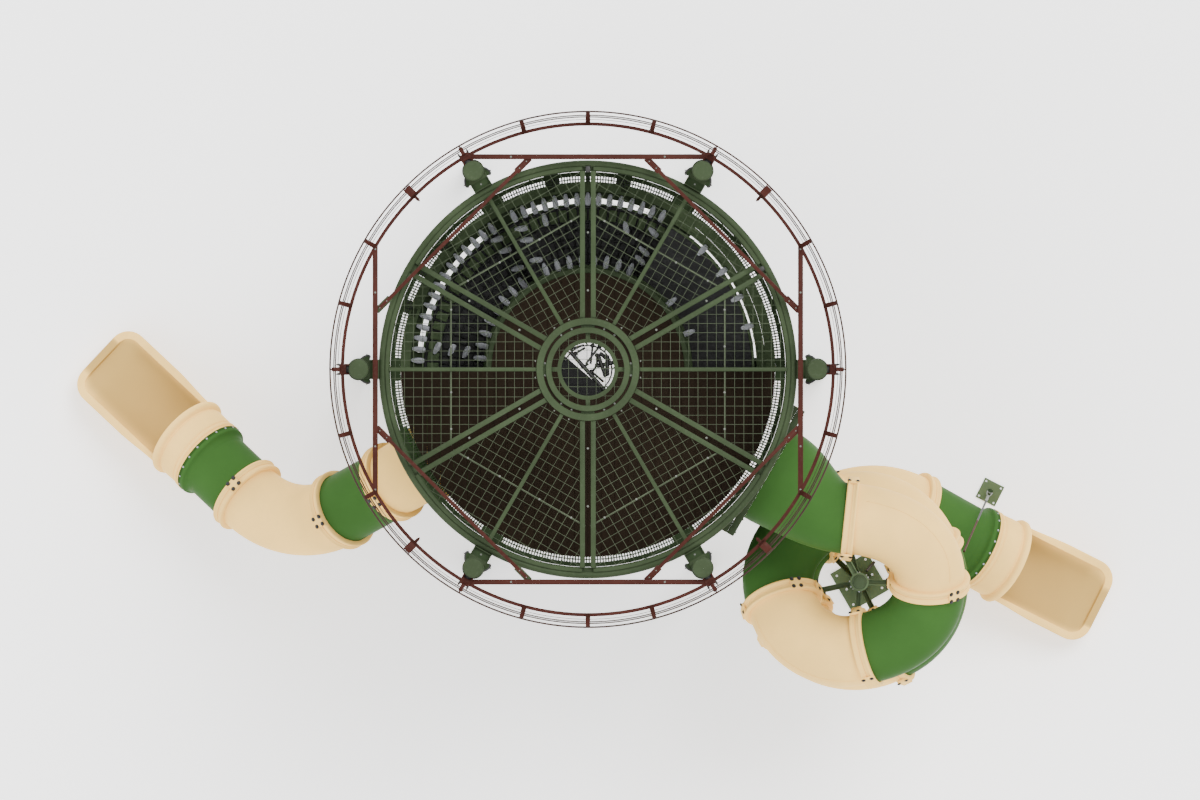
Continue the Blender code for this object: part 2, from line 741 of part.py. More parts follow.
def chute_section(start, end, reach, length):
    """Closed outline, across and up, of the chute at a distance from the joint."""
    left = length - reach
    rim, edge = CHUTE_RIM
    grown = eased((reach - BELL_LENGTH) / 0.5)
    half = CHUTE_NECK + (CHUTE_HALF - CHUTE_NECK) * grown
    half -= CHUTE_CORNER - math.sqrt(CHUTE_CORNER ** 2 - max(0.0, CHUTE_CORNER - left) ** 2)
    inner = CHUTE_HALF - rim + (BELL_BORE + 0.005 - CHUTE_HALF + rim) * (
        1 - eased((reach - CHUTE_START) / 0.3))
    corner = CHUTE_CORNER - rim
    inner -= corner - math.sqrt(corner ** 2 - min(corner, max(0.0, CHUTE_CORNER - left)) ** 2)
    inner = min(inner, half - edge * 0.5)
    start_drop = (BELL_BORE + 0.005) * math.hypot(1.0, start[1].z / math.hypot(*start[1].xy))
    bottom = chute_centre(start, end, reach, length) - start_drop
    bottom += (start_drop - CHUTE_END_DROP) * eased((reach - BELL_LENGTH) / (length - BELL_LENGTH))
    deep = edge + 0.20 * eased((left - rim) / 0.25) + 0.15 * eased((left - rim - 0.25) / 0.6)
    top = bottom + deep
    if left < rim:
        deep = CHUTE_WALL / 2
    under = max(deep + CHUTE_WALL, edge + CHUTE_WALL) - edge
    outline = [(-half, top - edge), (-half, top)]
    for index in range(CHUTE_ARC + 1):
        angle = math.pi * index / CHUTE_ARC
        outline.append((-inner * math.cos(angle), top - deep * math.sin(angle)))
    outline += [(half, top), (half, top - edge)]
    wide = min(inner + CHUTE_WALL, half - CHUTE_WALL / 2)
    for index in range(CHUTE_ARC + 1):
        angle = math.pi * index / CHUTE_ARC
        outline.append((wide * math.cos(angle), top - edge - under * math.sin(angle)))
    return outline


def make_exit(name, start, end):
    """Bell, then an open chute lofted through upright sections."""
    (p0, t0), (p1, t1) = start, end
    level = Vector((p1.x - p0.x, p1.y - p0.y, 0))
    length = level.length
    ahead = level.normalized()
    across = Vector((-ahead.y, ahead.x, 0))
    bead = BELL_LENGTH - BELL_BEAD[1]
    skin = [(p0 + t0 * reach, t0, radius) for reach, radius in (
        (COLLAR_HALF, COLLAR_RADIUS), (bead, COLLAR_RADIUS), (bead, BELL_BEAD[0]),
        (BELL_LENGTH, BELL_BEAD[0]), (BELL_LENGTH, BELL_BORE), (COLLAR_HALF, BELL_BORE))]
    body = loft(name, skin + list(reversed(collar_end(p0, t0))), True)
    reaches = [CHUTE_START + (length - CHUTE_CORNER - CHUTE_START) * index / CHUTE_STEPS
               for index in range(CHUTE_STEPS)]
    reaches += [length - CHUTE_CORNER * share for share in CHUTE_TIP]
    bm = bmesh.new()
    loops = []
    for reach in reaches:
        flat = Vector((p0.x, p0.y, 0)) + ahead * reach
        loops.append([bm.verts.new(flat + across * side + Vector((0, 0, up)))
                      for side, up in chute_section(start, end, reach, length)])
    for here, there in zip(loops, loops[1:]):
        for index in range(len(here)):
            after = (index + 1) % len(here)
            bm.faces.new((here[index], here[after], there[after], there[index]))
    bm.faces.new(loops[0])
    bm.faces.new(loops[-1])
    bmesh.ops.recalc_face_normals(bm, faces=bm.faces)
    mesh = bpy.data.meshes.new("chute")
    bm.to_mesh(mesh)
    bm.free()
    return finish(combine(body, [link("chute", mesh)], "UNION"), "slide_beige")


def helix_joints():
    """Every joint of the helical slide, from its first collar to its last elbow."""
    drop_each = (HELIX_TOP_Z - HELIX_BOTTOM_Z) / (len(HELIX_JOINTS) - 1)
    joints = []
    for index, (angle, radius, turn, slope) in enumerate(HELIX_JOINTS):
        place = POST_AT + polar(radius, angle, HELIX_TOP_Z - index * drop_each)
        joints.append((place, heading(angle - 90.0 + turn, slope)))
    return joints


def upper_mouth_joint():
    place = polar(PANEL_INNER + PANEL[0] + GAP, UPPER_MOUTH_TURN, HELIX_TOP_Z)
    return place, heading(UPPER_MOUTH_TURN, 0.0)


def lower_mouth_joint():
    place, towards = joint(*LOWER_JOINTS[0])
    return place - towards * LOWER_MOUTH_LENGTH, towards


def make_upper_slide():
    joints = helix_joints()
    make_mouth("upper_slide_01", upper_mouth_joint(), joints[0], UPPER_DECK_Z)
    for index, (start, end) in enumerate(zip(joints, joints[1:])):
        beige = index % 2 == 0
        tube(f"upper_slide_{index + 2:02d}", start, end, ELBOW_STEPS, beige,
             "slide_beige" if beige else "slide_green")
    bell = joint(*UPPER_BELL)
    number = len(joints) + 1
    tube(f"upper_slide_{number:02d}", joints[-1], bell, 1, False, "slide_green")
    make_exit(f"upper_slide_{number + 1:02d}", bell, joint(*UPPER_END))


def make_lower_slide():
    joints = [joint(*values) for values in LOWER_JOINTS]
    make_mouth("lower_slide_1", lower_mouth_joint(), joints[0], LOWER_DECK_Z)
    tube("lower_slide_2", joints[0], joints[1], 3, True, "slide_beige")
    tube("lower_slide_3", joints[1], joints[2], 1, False, "slide_green")
    tube("lower_slide_4", joints[2], joints[3], ELBOW_STEPS, True, "slide_beige")
    tube("lower_slide_5", joints[3], joints[4], 1, False, "slide_green")
    make_exit("lower_slide_6", joints[4], joints[5])


# Slide supports

def collar_cutter(place, towards):
    """The space of one joint's collar, a little oversize."""
    reach = towards * (COLLAR_HALF + GAP)
    radius = COLLAR_RADIUS + GAP
    return loft("collar_space", [(place - reach, towards, radius),
                                 (place + reach, towards, radius)], False)


def make_slide_post():
    post = rod("slide_post", POST_AT, POST_AT + Vector((0, 0, POST_TOP_Z)), POST_RADIUS,
               POST_SIDES)
    plate_at = POST_AT + Vector((0, 0, POST_PLATE[2] / 2))
    tools = [box("foot", POST_PLATE, plate_at, POST_PLATE_TURN)]
    cutters = []
    for place, towards in helix_joints()[:POST_JOINTS]:
        side = Vector((towards.y, -towards.x, 0)).normalized()
        tip = place + side * (COLLAR_RADIUS - ARM_BITE)
        start = POST_AT + Vector((0, 0, place.z))
        tools.append(flat_bar("arm", start, tip, ARM_WIDTH, ARM_HEIGHT))
        cutters.append(collar_cutter(place, towards))
    post = combine(post, tools, "UNION")
    return finish(combine(post, cutters, "DIFFERENCE"), "sage_green")


def make_slide_strut():
    foot = STRUT_PLATE_AT + Vector((0, 0, STRUT_PLATE[2] / 2))
    plate_body = box("slide_strut", STRUT_PLATE, foot, STRUT_PLATE_TURN)
    start, end = helix_joints()[-1], joint(*UPPER_BELL)
    target = start[0].lerp(end[0], 0.5)
    rod_body = rod("rod", foot, target, STRUT_RADIUS, 8)
    body = combine(plate_body, [rod_body], "UNION")
    space = [(place, towards, TUBE_RADIUS + GAP) for place, towards in bend(start, end, 1)]
    return finish(combine(body, [loft("space", space, False)], "DIFFERENCE"), "sage_green")


def port_hole():
    """The round way out to the helical slide."""
    middle = polar(1.5, UPPER_MOUTH_TURN, UPPER_DECK_Z + MOUTH_RADIUS * TUBE_FLAT)
    away = polar(2.0, UPPER_MOUTH_TURN)
    return rod("hole", middle, middle + away, MOUTH_RADIUS - PORT_LIP, PORT_SIDES)


def make_port_panel():
    thickness, _, height = PANEL
    centre = polar(PANEL_INNER + thickness / 2, UPPER_MOUTH_TURN,
                   UPPER_DECK_Z + height / 2 - PANEL_DROP)
    panel = box("port_panel", PANEL, centre, UPPER_MOUTH_TURN)
    return finish(combine(panel, [port_hole()], "DIFFERENCE"), "sage_green")


def wall_cutters(index):
    """Openings in the drum's wall where the slides leave."""
    if index == 5:
        return [port_hole()]
    if index == 3:
        place, towards = joint(*LOWER_JOINTS[0])
        return [rod("hole", place, place + towards, WALL_HOLE_RADIUS, PORT_SIDES)]
    return []


def centre_on_origin():
    """Move the tower so that the footprint's middle stands on the origin."""
    bpy.context.view_layer.update()
    corners = []
    for obj in PARTS.objects:
        corners += [obj.matrix_world @ Vector(corner) for corner in obj.bound_box]
    low_x, high_x = min(c.x for c in corners), max(c.x for c in corners)
    low_y, high_y = min(c.y for c in corners), max(c.y for c in corners)
    TOWER.location = (-(low_x + high_x) / 2, -(low_y + high_y) / 2, 0.0)


clear_scene()
PARTS = bpy.data.collections.new("playground_tower")
bpy.context.scene.collection.children.link(PARTS)
GUIDES = bpy.data.collections.new("guides")
bpy.context.scene.collection.children.link(GUIDES)
TOWER = bpy.data.objects.new("tower_axis", None)
GUIDES.objects.link(TOWER)
MATERIALS = {name: make_material(name) for name in COLOURS}

for bay in range(BAYS):
    make_column(bay)
    make_wall(bay, wall_cutters(bay))
    make_roof_sector(bay)
make_ring_beam("lower_ring_beam", LOWER_DECK_Z)
make_ring_beam("upper_ring_beam", UPPER_DECK_Z)
make_deck("lower_deck", LOWER_DECK_Z)
make_deck("upper_deck", UPPER_DECK_Z)
make_core_rim()
make_climbing_sheet("ramp_membrane", *RAMP)
for number, net in enumerate(NETS, start=1):
    make_climbing_sheet(f"climbing_net_{number}", *net)
make_core_net()
make_roof_rim()
make_roof_hub()
for side_name, side_turn in (("east", 0), ("north", 90), ("west", 180), ("south", 270)):
    make_side_bar(f"side_bar_{side_name}", side_turn)
for corner_name, corner_turn in (("ne", 0), ("nw", 90), ("sw", 180), ("se", 270)):
    make_diagonal_bar(f"diagonal_bar_{corner_name}", corner_turn)
make_guide_ring()
make_port_panel()
make_upper_slide()
make_lower_slide()
make_slide_post()
make_slide_strut()
centre_on_origin()
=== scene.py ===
"""Looks for a round playground tower: steelwork, decks, nets, mesh roof and tube slides.

Everything is laid out around the tower's own axis, in metres above the ground, and
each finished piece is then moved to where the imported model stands.
"""

import json
import math

import bmesh
import bpy
from bpy.props import FloatProperty, FloatVectorProperty, IntProperty, PointerProperty
from mathutils import Matrix, Vector
from mathutils.geometry import interpolate_bezier


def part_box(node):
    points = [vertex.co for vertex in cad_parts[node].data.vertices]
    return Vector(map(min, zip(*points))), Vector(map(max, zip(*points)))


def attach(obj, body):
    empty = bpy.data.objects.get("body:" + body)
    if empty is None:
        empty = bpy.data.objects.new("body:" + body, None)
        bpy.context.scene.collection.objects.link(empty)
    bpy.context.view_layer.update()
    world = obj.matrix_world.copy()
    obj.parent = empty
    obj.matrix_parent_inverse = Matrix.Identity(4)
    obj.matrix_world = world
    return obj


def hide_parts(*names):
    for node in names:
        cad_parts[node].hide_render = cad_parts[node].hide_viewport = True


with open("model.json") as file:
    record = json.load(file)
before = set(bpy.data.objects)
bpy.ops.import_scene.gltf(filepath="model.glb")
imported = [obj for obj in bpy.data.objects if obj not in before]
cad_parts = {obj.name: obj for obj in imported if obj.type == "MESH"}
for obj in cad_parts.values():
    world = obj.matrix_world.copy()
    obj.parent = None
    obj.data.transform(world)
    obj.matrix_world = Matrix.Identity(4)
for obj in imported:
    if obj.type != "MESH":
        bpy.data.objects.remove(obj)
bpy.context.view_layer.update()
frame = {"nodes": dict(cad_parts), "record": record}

bl_info = {
    "name": "Playground Tower",
    "version": (1, 0, 0),
    "blender": (4, 5, 0),
    "location": "View3D > Sidebar > Tower",
    "description": "Builds a round playground tower with two tube slides",
    "category": "Add Mesh",
}

HUB_LOW, HUB_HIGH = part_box("roof_hub")
AXIS = Vector(((HUB_LOW.x + HUB_HIGH.x) / 2, (HUB_LOW.y + HUB_HIGH.y) / 2, 0.0))

FULL = (0.0, 360.0)
QUARTERS = (0, 90, 180, 270)
BOTH = (-1, 1)
UP = Vector((0, 0, 1))

# Levels and radii shared by many pieces
LOWER_DECK_Z = 2.24
UPPER_DECK_Z = 4.50
ROOF_Z = 6.60
FRAME_Z = 6.80
COLUMN_TOP_Z = 6.95
BAYS = 6
BAY_TURNS = tuple(index * 360.0 / BAYS for index in range(BAYS))
COLUMN_CIRCLE = 2.50
COLUMN_RADIUS = 0.1095
DECK_RADIUS = 2.04
CORE_RADIUS = 1.05
DECK_HOLE = 0.333
WALL_INNER = 2.19
WALL_OUTER = 2.20
WALL_BOTTOM_Z = LOWER_DECK_Z - 0.12
WALL_TOP_Z = ROOF_Z - 0.0303
WALL_EDGE = math.degrees(math.asin(0.1063 / WALL_INNER))  # from a column's middle to the wall
BRACKETS = ((LOWER_DECK_Z, 2.1536), (UPPER_DECK_Z, 2.1536), (ROOF_Z, 2.2752))  # and inner ends

# Tube slides. A helix joint is its angle round the post, its distance from it, how far the tube
# turns off square, and its slope; any other joint is its place, its heading and its slope.
TUBE_RADIUS = 0.387
BORE_RADIUS = 0.379
SOCKET_RADIUS = 0.392
COLLAR_RADIUS = 0.445
COLLAR_HALF = 0.065
FLANGE_RADIUS = 0.4455
MOUTH_RADIUS = 0.56
MOUTH_FLAT = math.cos(math.pi / 14)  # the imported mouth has 14 sides
JOINT_GAP = 0.0003
POST_AT = Vector((2.960, -2.317, 0.0))
POST_RADIUS = 0.084
HELIX_TOP_Z = UPPER_DECK_Z + TUBE_RADIUS
HELIX_BOTTOM_Z = 1.36
HELIX_JOINTS = (
    (98.5, 0.697, -14.2, 0.0),
    (-0.5, 0.763, 0.5, 26.0),
    (-83.9, 0.727, 7.0, 12.0),
    (-165.3, 0.871, 2.7, 24.0),
    (-254.0, 0.810, 0.0, 16.0),
    (-335.4, 0.780, 0.0, 20.0),
    (-424.0, 0.770, 0.0, 16.0),
    (-508.0, 0.820, 0.0, 20.0),
    (-584.4, 0.800, 0.0, 17.0),
    (-667.8, 0.970, 10.8, 24.0),
)
ARMLESS = (5, 7)
UPPER_BELL = (4.252, -1.936, 1.03, -27.0, 22.0)
UPPER_END = (5.590, -2.607, 0.73, -27.0, 3.0)
UPPER_MOUTH_TURN = -30.0
LOWER_MOUTH_TURN = 208.9
LOWER_JOINTS = (
    (-1.734, -1.0095, LOWER_DECK_Z + COLLAR_RADIUS + 0.065, LOWER_MOUTH_TURN, 0.0),
    (-2.128, -1.227, 2.585, LOWER_MOUTH_TURN, 40.0),
    (-2.680, -1.5325, 2.056, LOWER_MOUTH_TURN, 40.0),
    (-3.714, -1.3647, 1.36, 136.4, 25.0),
    (-4.134, -0.9646, 1.07, 136.4, 25.0),
    (-5.341, 0.169, 0.73, 136.4, 4.0),
)
LOWER_MOUTH_LENGTH = 0.42
SEAMS = {0: -33.0, 2: -58.0}  # which helix sections show a seam, and its angle from the top
SNUG_BEND = (6, 0.945)  # the helix section that bends a little tighter
COLLAR = ((-0.065, 0.404), (-0.063, 0.434), (-0.058, 0.441), (-0.048, 0.445), (-0.036, 0.441),
          (-0.028, 0.431), (-0.007, 0.430), (-0.003, 0.422))  # half of a collar's section

# Exits: a bell, then an open chute with a broad rim
BELL_LENGTH = 0.40
BELL_BEAD = (0.486, 0.08)  # radius and breadth
BELL_BORE = 0.41
CHUTE_START = 0.20
CHUTE_NECK = 0.44
CHUTE_HALF = 0.467
CHUTE_RIM = (0.084, 0.05)
CHUTE_CORNER = 0.22
CHUTE_WALL = 0.012
CHUTE_END_DROP = 0.473
CHUTE_STEPS = 26
CHUTE_ARC = 28
CHUTE_TIP = (1.0, 0.86, 0.72, 0.62, 0.52, 0.48, 0.456, 0.453, 0.36, 0.27, 0.2, 0.13, 0.06,
             0.02, 0.0)
LIP = 0.012

# Photograph: middle of the view from the tower's axis, and its width in metres
VIEW_MIDDLE = Vector((0.132, -0.334, 0.0))
VIEW_WIDTH = 13.08
FLOOR_GLOW = 0.6


def polar(radius, degrees, z=0.0):
    angle = math.radians(degrees)
    return Vector((radius * math.cos(angle), radius * math.sin(angle), z))


def beside(radius, degrees, sideways, z=0.0):
    """A point at a radius, moved sideways from it."""
    return polar(radius, degrees, z) + polar(sideways, degrees + 90.0)


def aimed(direction):
    """Turns, in degrees, that stand a fitting along a direction."""
    turn = Vector(direction).to_track_quat("Z", "Y").to_euler()
    return tuple(math.degrees(angle) for angle in turn)


def length_setting(label, note, default, least=0.0):
    return FloatProperty(name=label, description=note, default=default, min=least, unit="LENGTH")


def number_setting(label, note, default, least):
    return IntProperty(name=label, description=note, default=default, min=least)


def colour_setting(label, note, *default):
    return FloatVectorProperty(name=label, description=note, default=default, subtype="COLOR")


class TowerSizes(bpy.types.PropertyGroup):
    mesh_pitch: length_setting("Mesh pitch", "Spacing of the roof mesh's wires", 0.1, 0.02)
    mesh_wire: length_setting("Mesh wire", "Radius of the roof mesh's wires", 0.0026, 0.0005)
    board_width: length_setting("Board width", "Width of one deck board", 0.146, 0.02)
    board_gap: length_setting("Board gap", "Gap between deck boards", 0.003)
    rope_radius: length_setting("Rope radius", "Radius of the nets' ropes", 0.008, 0.001)
    grating_pitch: length_setting("Grating pitch", "Spacing of the grating's bars", 0.030, 0.005)
    slide_sides: number_setting("Slide sides", "Sides of a slide tube's section", 56, 12)
    bend_steps: number_setting("Bend steps", "Rings along each slide bend", 18, 2)


class TowerColours(bpy.types.PropertyGroup):
    sage: colour_setting("Sage green", "Steelwork", 0.030, 0.043, 0.0215)
    dark_sage: colour_setting("Dark sage", "Walls and ring beams", 0.024, 0.039, 0.017)
    wire: colour_setting("Wire", "Roof mesh", 0.058, 0.072, 0.045)
    rust: colour_setting("Rust red", "Frame over the roof", 0.040, 0.0125, 0.0095)
    rail: colour_setting("Rail brown", "Rails over the roof", 0.034, 0.019, 0.016)
    deck: colour_setting("Deck brown", "Deck boards", 0.0145, 0.009, 0.0045)
    rope: colour_setting("Rope black", "Ropes and membrane", 0.033, 0.0335, 0.033)
    clamp: colour_setting("Clamp grey", "Cast net clamps", 0.36, 0.37, 0.40)
    slide_green: colour_setting("Slide green", "Green slide sections", 0.034, 0.089, 0.020)
    slide_beige: colour_setting("Slide beige", "Beige slide sections", 0.87, 0.555, 0.165)
    bolt: colour_setting("Bolt", "Zinc-plated bolts", 0.11, 0.12, 0.10)


# Shader building

class Signal:
    """A number in a shader that can be added, multiplied and so on."""

    def __init__(self, shader, socket):
        self.shader = shader
        self.socket = socket

    def maths(self, operation, *others):
        node = self.shader.node("ShaderNodeMath", dict(enumerate((self, *others))),
                                operation=operation)
        return Signal(self.shader, node.outputs[0])

    def __add__(self, other):
        return self.maths("ADD", other)

    def __sub__(self, other):
        return self.maths("SUBTRACT", other)

    def __mul__(self, other):
        return self.maths("MULTIPLY", other)

    def __truediv__(self, other):
        return self.maths("DIVIDE", other)


def tinted(colour, factor):
    return tuple(channel * factor for channel in colour) + (1.0,)


class Shader:
    """One finish, built from nodes on object coordinates."""

    def __init__(self, name):
        self.material = bpy.data.materials.new(name)
        self.material.use_nodes = True
        self.tree = self.material.node_tree
        self.surface = self.tree.nodes["Principled BSDF"]
        self.place = self.node("ShaderNodeTexCoord").outputs["Object"]
        self.hollow = self.node("ShaderNodeTexCoord").outputs["UV"]

    def feed(self, socket, value):
        value = getattr(value, "socket", value)
        if isinstance(value, bpy.types.NodeSocket):
            self.tree.links.new(value, socket)
        else:
            socket.default_value = value

    def node(self, kind, inputs=None, **settings):
        made = self.tree.nodes.new(kind)
        for name, value in settings.items():
            setattr(made, name, value)
        for key, value in (inputs or {}).items():
            self.feed(made.inputs[key], value)
        return made

    def set(self, **values):
        for name, value in values.items():
            self.feed(self.surface.inputs[name.replace("_", " ")], value)
        return self.material

    def noise(self, scale, detail=3.0, stretch=(1, 1, 1)):
        place = self.node("ShaderNodeVectorMath", {0: self.place, 1: Vector(stretch)},
                          operation="MULTIPLY")
        made = self.node("ShaderNodeTexNoise", {"Vector": place.outputs[0], "Scale": scale,
                                                "Detail": detail})
        return Signal(self, made.outputs["Fac"])

    def ramp(self, signal, low, high, start=0.0, end=1.0):
        made = self.node("ShaderNodeMapRange", {"Value": signal, "From Min": low, "From Max": high,
                                                "To Min": start, "To Max": end},
                         interpolation_type="SMOOTHSTEP")
        return Signal(self, made.outputs["Result"])

    def patches(self, scale, detail, low, high, stretch=(1, 1, 1)):
        return self.ramp(self.noise(scale, detail, stretch), low, high)

    def axes(self, centre=(0, 0, 0)):
        moved = self.node("ShaderNodeVectorMath", {0: self.place, 1: Vector(centre)},
                          operation="SUBTRACT")
        split = self.node("ShaderNodeSeparateXYZ", {0: moved.outputs[0]})
        return [Signal(self, out) for out in split.outputs]

    def mix(self, share, first, second):
        made = self.node("ShaderNodeMix", {0: share, 6: first, 7: second}, data_type="RGBA")
        return made.outputs[2]

    def shades(self, share, colour, low, high):
        """A darker and a lighter tint of one colour, mixed by a share."""
        return self.mix(share, tinted(colour, low), tinted(colour, high))

    def bump(self, height, strength, distance):
        made = self.node("ShaderNodeBump", {"Height": height, "Strength": strength,
                                            "Distance": distance})
        self.feed(self.surface.inputs["Normal"], made.outputs[0])


def painted_steel(name, colour):
    """Powder coat with orange peel, faint dust and rubbed patches."""
    shader = Shader(name)
    dust = shader.patches(34.0, 5.0, 0.5, 0.8)
    base = shader.shades(shader.patches(2.2, 4.0, 0.35, 0.7), colour, 0.86, 1.12)
    dusty = shader.mix(dust * 0.02, base, (0.42, 0.43, 0.36, 1.0))
    shader.bump(shader.noise(260.0, 2.0), 0.12, 0.001)
    return shader.set(Base_Color=dusty, Roughness=shader.ramp(dust, 0.0, 1.0, 0.42, 0.62),
                      Metallic=0.0, Specular_IOR_Level=0.03)


def perforated_steel(name, colour):
    """Coated sheet with rows of small round holes, drawn round the tower's axis."""
    shader = Shader(name)
    pitch, hole_edge = 0.05, (0.24, 0.29)
    x, y, z = shader.axes(AXIS)
    around = y.maths("ARCTAN2", x) * WALL_OUTER
    rows = z / pitch
    shift = (rows.maths("FLOOR") * 0.5).maths("FRACT")
    across = (around / pitch + shift).maths("FRACT") - 0.5
    along = rows.maths("FRACT") - 0.5
    distance = (across * across + along * along).maths("SQRT")
    hole = shader.ramp(distance, *hole_edge, 1.0, 0.0)
    base = shader.shades(shader.patches(1.6, 4.0, 0.35, 0.7), colour, 0.88, 1.15)
    holed = shader.mix(hole * 0.85, base, (0.006, 0.008, 0.006, 1.0))
    shader.bump(hole * -1.0 + 1.0, 0.7, 0.004)
    return shader.set(Base_Color=holed, Roughness=0.6, Specular_IOR_Level=0.08)


def deck_board(name, colour):
    """Dark ribbed decking with fine grain along the board."""
    shader = Shader(name)
    rib_pitch = 0.012
    rib = ((shader.axes()[0] / rib_pitch).maths("FRACT") - 0.5).maths("ABSOLUTE")
    grain = shader.noise(16.0, 6.0, (9.0, 0.6, 3.0))
    base = shader.shades(grain, colour, 0.72, 1.3)
    worn = shader.mix(shader.patches(3.0, 3.0, 0.35, 0.75) * 0.2, base, tinted(colour, 1.6))
    shader.bump(shader.ramp(rib, 0.1, 0.3) + grain * 0.4, 0.5, 0.003)
    return shader.set(Base_Color=worn, Roughness=shader.ramp(grain, 0.3, 0.7, 0.62, 0.8),
                      Specular_IOR_Level=0.1)


def braided_rope(name, colour):
    """Steel-cored rope with a braided cover."""
    shader = Shader(name)
    strands = shader.node("ShaderNodeTexVoronoi", {"Vector": shader.place, "Scale": 150.0})
    base = shader.shades(shader.patches(7.0, 3.0, 0.3, 0.8), colour, 0.6, 1.5)
    shader.bump(Signal(shader, strands.outputs["Distance"]), 0.6, 0.003)
    return shader.set(Base_Color=base, Roughness=0.78, Specular_IOR_Level=0.15)


def rubber_membrane(name, colour):
    """Conveyor-belt rubber with a fine fabric print and scuffs."""
    shader = Shader(name)
    thread = 0.006
    x, y, _ = shader.axes(AXIS)
    weave = (x / thread).maths("FRACT").maths("PINGPONG", 0.5) + (y / thread).maths("FRACT")
    scuffs = shader.patches(9.0, 6.0, 0.45, 0.75, (1.0, 3.0, 1.0))
    shader.bump(weave + shader.noise(60.0, 2.0), 0.25, 0.002)
    return shader.set(Base_Color=shader.shades(scuffs, colour, 0.85, 1.5),
                      Roughness=shader.ramp(scuffs, 0.0, 1.0, 0.5, 0.7), Specular_IOR_Level=0.15)


def cast_metal(name, colour, roughness, metallic):
    """Small cast or plated hardware with a dulled surface."""
    shader = Shader(name)
    spots = shader.patches(90.0, 4.0, 0.35, 0.7)
    shader.bump(shader.noise(300.0, 2.0), 0.2, 0.001)
    return shader.set(Base_Color=shader.shades(spots, colour, 0.75, 1.15), Metallic=metallic,
                      Roughness=shader.ramp(spots, 0.0, 1.0, roughness, roughness + 0.15))


def moulded_plastic(name, colour, gloss):
    """Roto-moulded plastic: faint orange peel, sun fading, scratches, and painted shade that
    darkens it deep in a chute's trough.
    """
    shader = Shader(name)
    scratches = shader.patches(40.0, 6.0, 0.6, 0.78, (1.0, 6.0, 2.0))
    base = shader.shades(shader.patches(1.3, 3.0, 0.3, 0.75), colour, 0.9, 1.08)
    fine = shader.mix(shader.noise(22.0, 4.0) * 0.25, base, tinted(colour, 0.78))
    # The hollow UV gives a chute face's depth in its trough; deeper faces are mixed towards a third
    # of the colour as painted shade.
    depth = shader.node("ShaderNodeSeparateXYZ", {0: shader.hollow}).outputs[0]
    trough_painted_shade = shader.mix(shader.ramp(depth, 0.0, 0.7, 0.0, 0.75), fine, tinted(colour, 0.35))
    shader.bump(shader.noise(120.0, 2.0) + scratches * 0.6, 0.1, 0.002)
    return shader.set(Base_Color=trough_painted_shade, Specular_IOR_Level=0.008,
                      Roughness=shader.ramp(scratches, 0.0, 1.0, gloss, gloss + 0.25))


FINISHES = {}


def make_finishes(colours):
    FINISHES.update({
        "steel": painted_steel("sage_powder_coat", colours.sage),
        "perforated": perforated_steel("sage_perforated_sheet", colours.dark_sage),
        "dark_steel": painted_steel("dark_sage_powder_coat", colours.dark_sage),
        # A copy of the sage coat at 2.4 times its colour: painted light for pieces that sit in
        # shade, in the drum's nets, the post's arms and the foot plates.
        "steel_lightened_for_shade": painted_steel("sage_lightened_for_shade", [c * 2.4 for c in colours.sage]),
        "wire": painted_steel("welded_mesh_wire", colours.wire),
        "rust": painted_steel("rust_red_powder_coat", colours.rust),
        "rail": painted_steel("brown_rails", colours.rail),
        "boards": deck_board("dark_deck_boards", colours.deck),
        "rope": braided_rope("black_braided_rope", colours.rope),
        "membrane": rubber_membrane("rubber_membrane", colours.rope),
        # The flap's rubber at a tenth of the rope colour: partly dark rubber, partly painted shade
        # in the rope tube's mouth.
        "rubber_darkened_for_shade": rubber_membrane("rubber_darkened_for_shade", [c * 0.1 for c in colours.rope]),
        "clamp": cast_metal("grey_cast_clamps", colours.clamp, 0.45, 0.3),
        "bolt": cast_metal("zinc_bolts", colours.bolt, 0.45, 0.15),
        "black": cast_metal("black_hardware", (0.012, 0.012, 0.011), 0.45, 0.3),
        "green": moulded_plastic("slide_green_plastic", colours.slide_green, 0.38),
        "green_dark": moulded_plastic("slide_flange_plastic",
                                      [c * 0.62 for c in colours.slide_green], 0.4),
        "beige": moulded_plastic("slide_beige_plastic", colours.slide_beige, 0.38),
    })


# Mesh making

def cube(bm, size, matrix, bevel):
    """A block of one size, set down by a matrix, with its edges eased."""
    made = bmesh.ops.create_cube(bm, size=1.0, matrix=matrix @ Matrix.Diagonal((*size, 1.0)))
    if bevel:
        edges = list({edge for vert in made["verts"] for edge in vert.link_edges})
        bmesh.ops.bevel(bm, geom=edges, offset=bevel, segments=2, affect="EDGES", profile=0.5)


def block(bm, size, at, turn=0.0, bevel=0.0):
    """A block turned about Z."""
    cube(bm, size, Matrix.Translation(at) @ Matrix.Rotation(math.radians(turn), 4, "Z"), bevel)


def bar(bm, start, end, width, height, bevel=0.0):
    """A square-cut bar between two points, its height kept upright."""
    turn = (end - start).to_track_quat("X", "Z").to_matrix().to_4x4()
    cube(bm, ((end - start).length, width, height), Matrix.Translation((start + end) / 2) @ turn,
         bevel)


def leaning_block(bm, size, at, along, out, bevel=0.0):
    """A block whose length lies along one direction and whose top faces another."""
    across = out.cross(along).normalized()
    turn = Matrix((out.cross(across) * -1, across, out)).transposed().to_4x4()
    cube(bm, size, Matrix.Translation(at) @ turn, bevel)


def rod(bm, start, end, radius, sides=16, tip=None):
    start, end = Vector(start), Vector(end)
    matrix = (Matrix.Translation((start + end) / 2)
              @ (end - start).to_track_quat("Z", "Y").to_matrix().to_4x4())
    bmesh.ops.create_cone(bm, cap_ends=True, segments=sides, radius1=radius,
                          radius2=radius if tip is None else tip,
                          depth=(end - start).length, matrix=matrix)


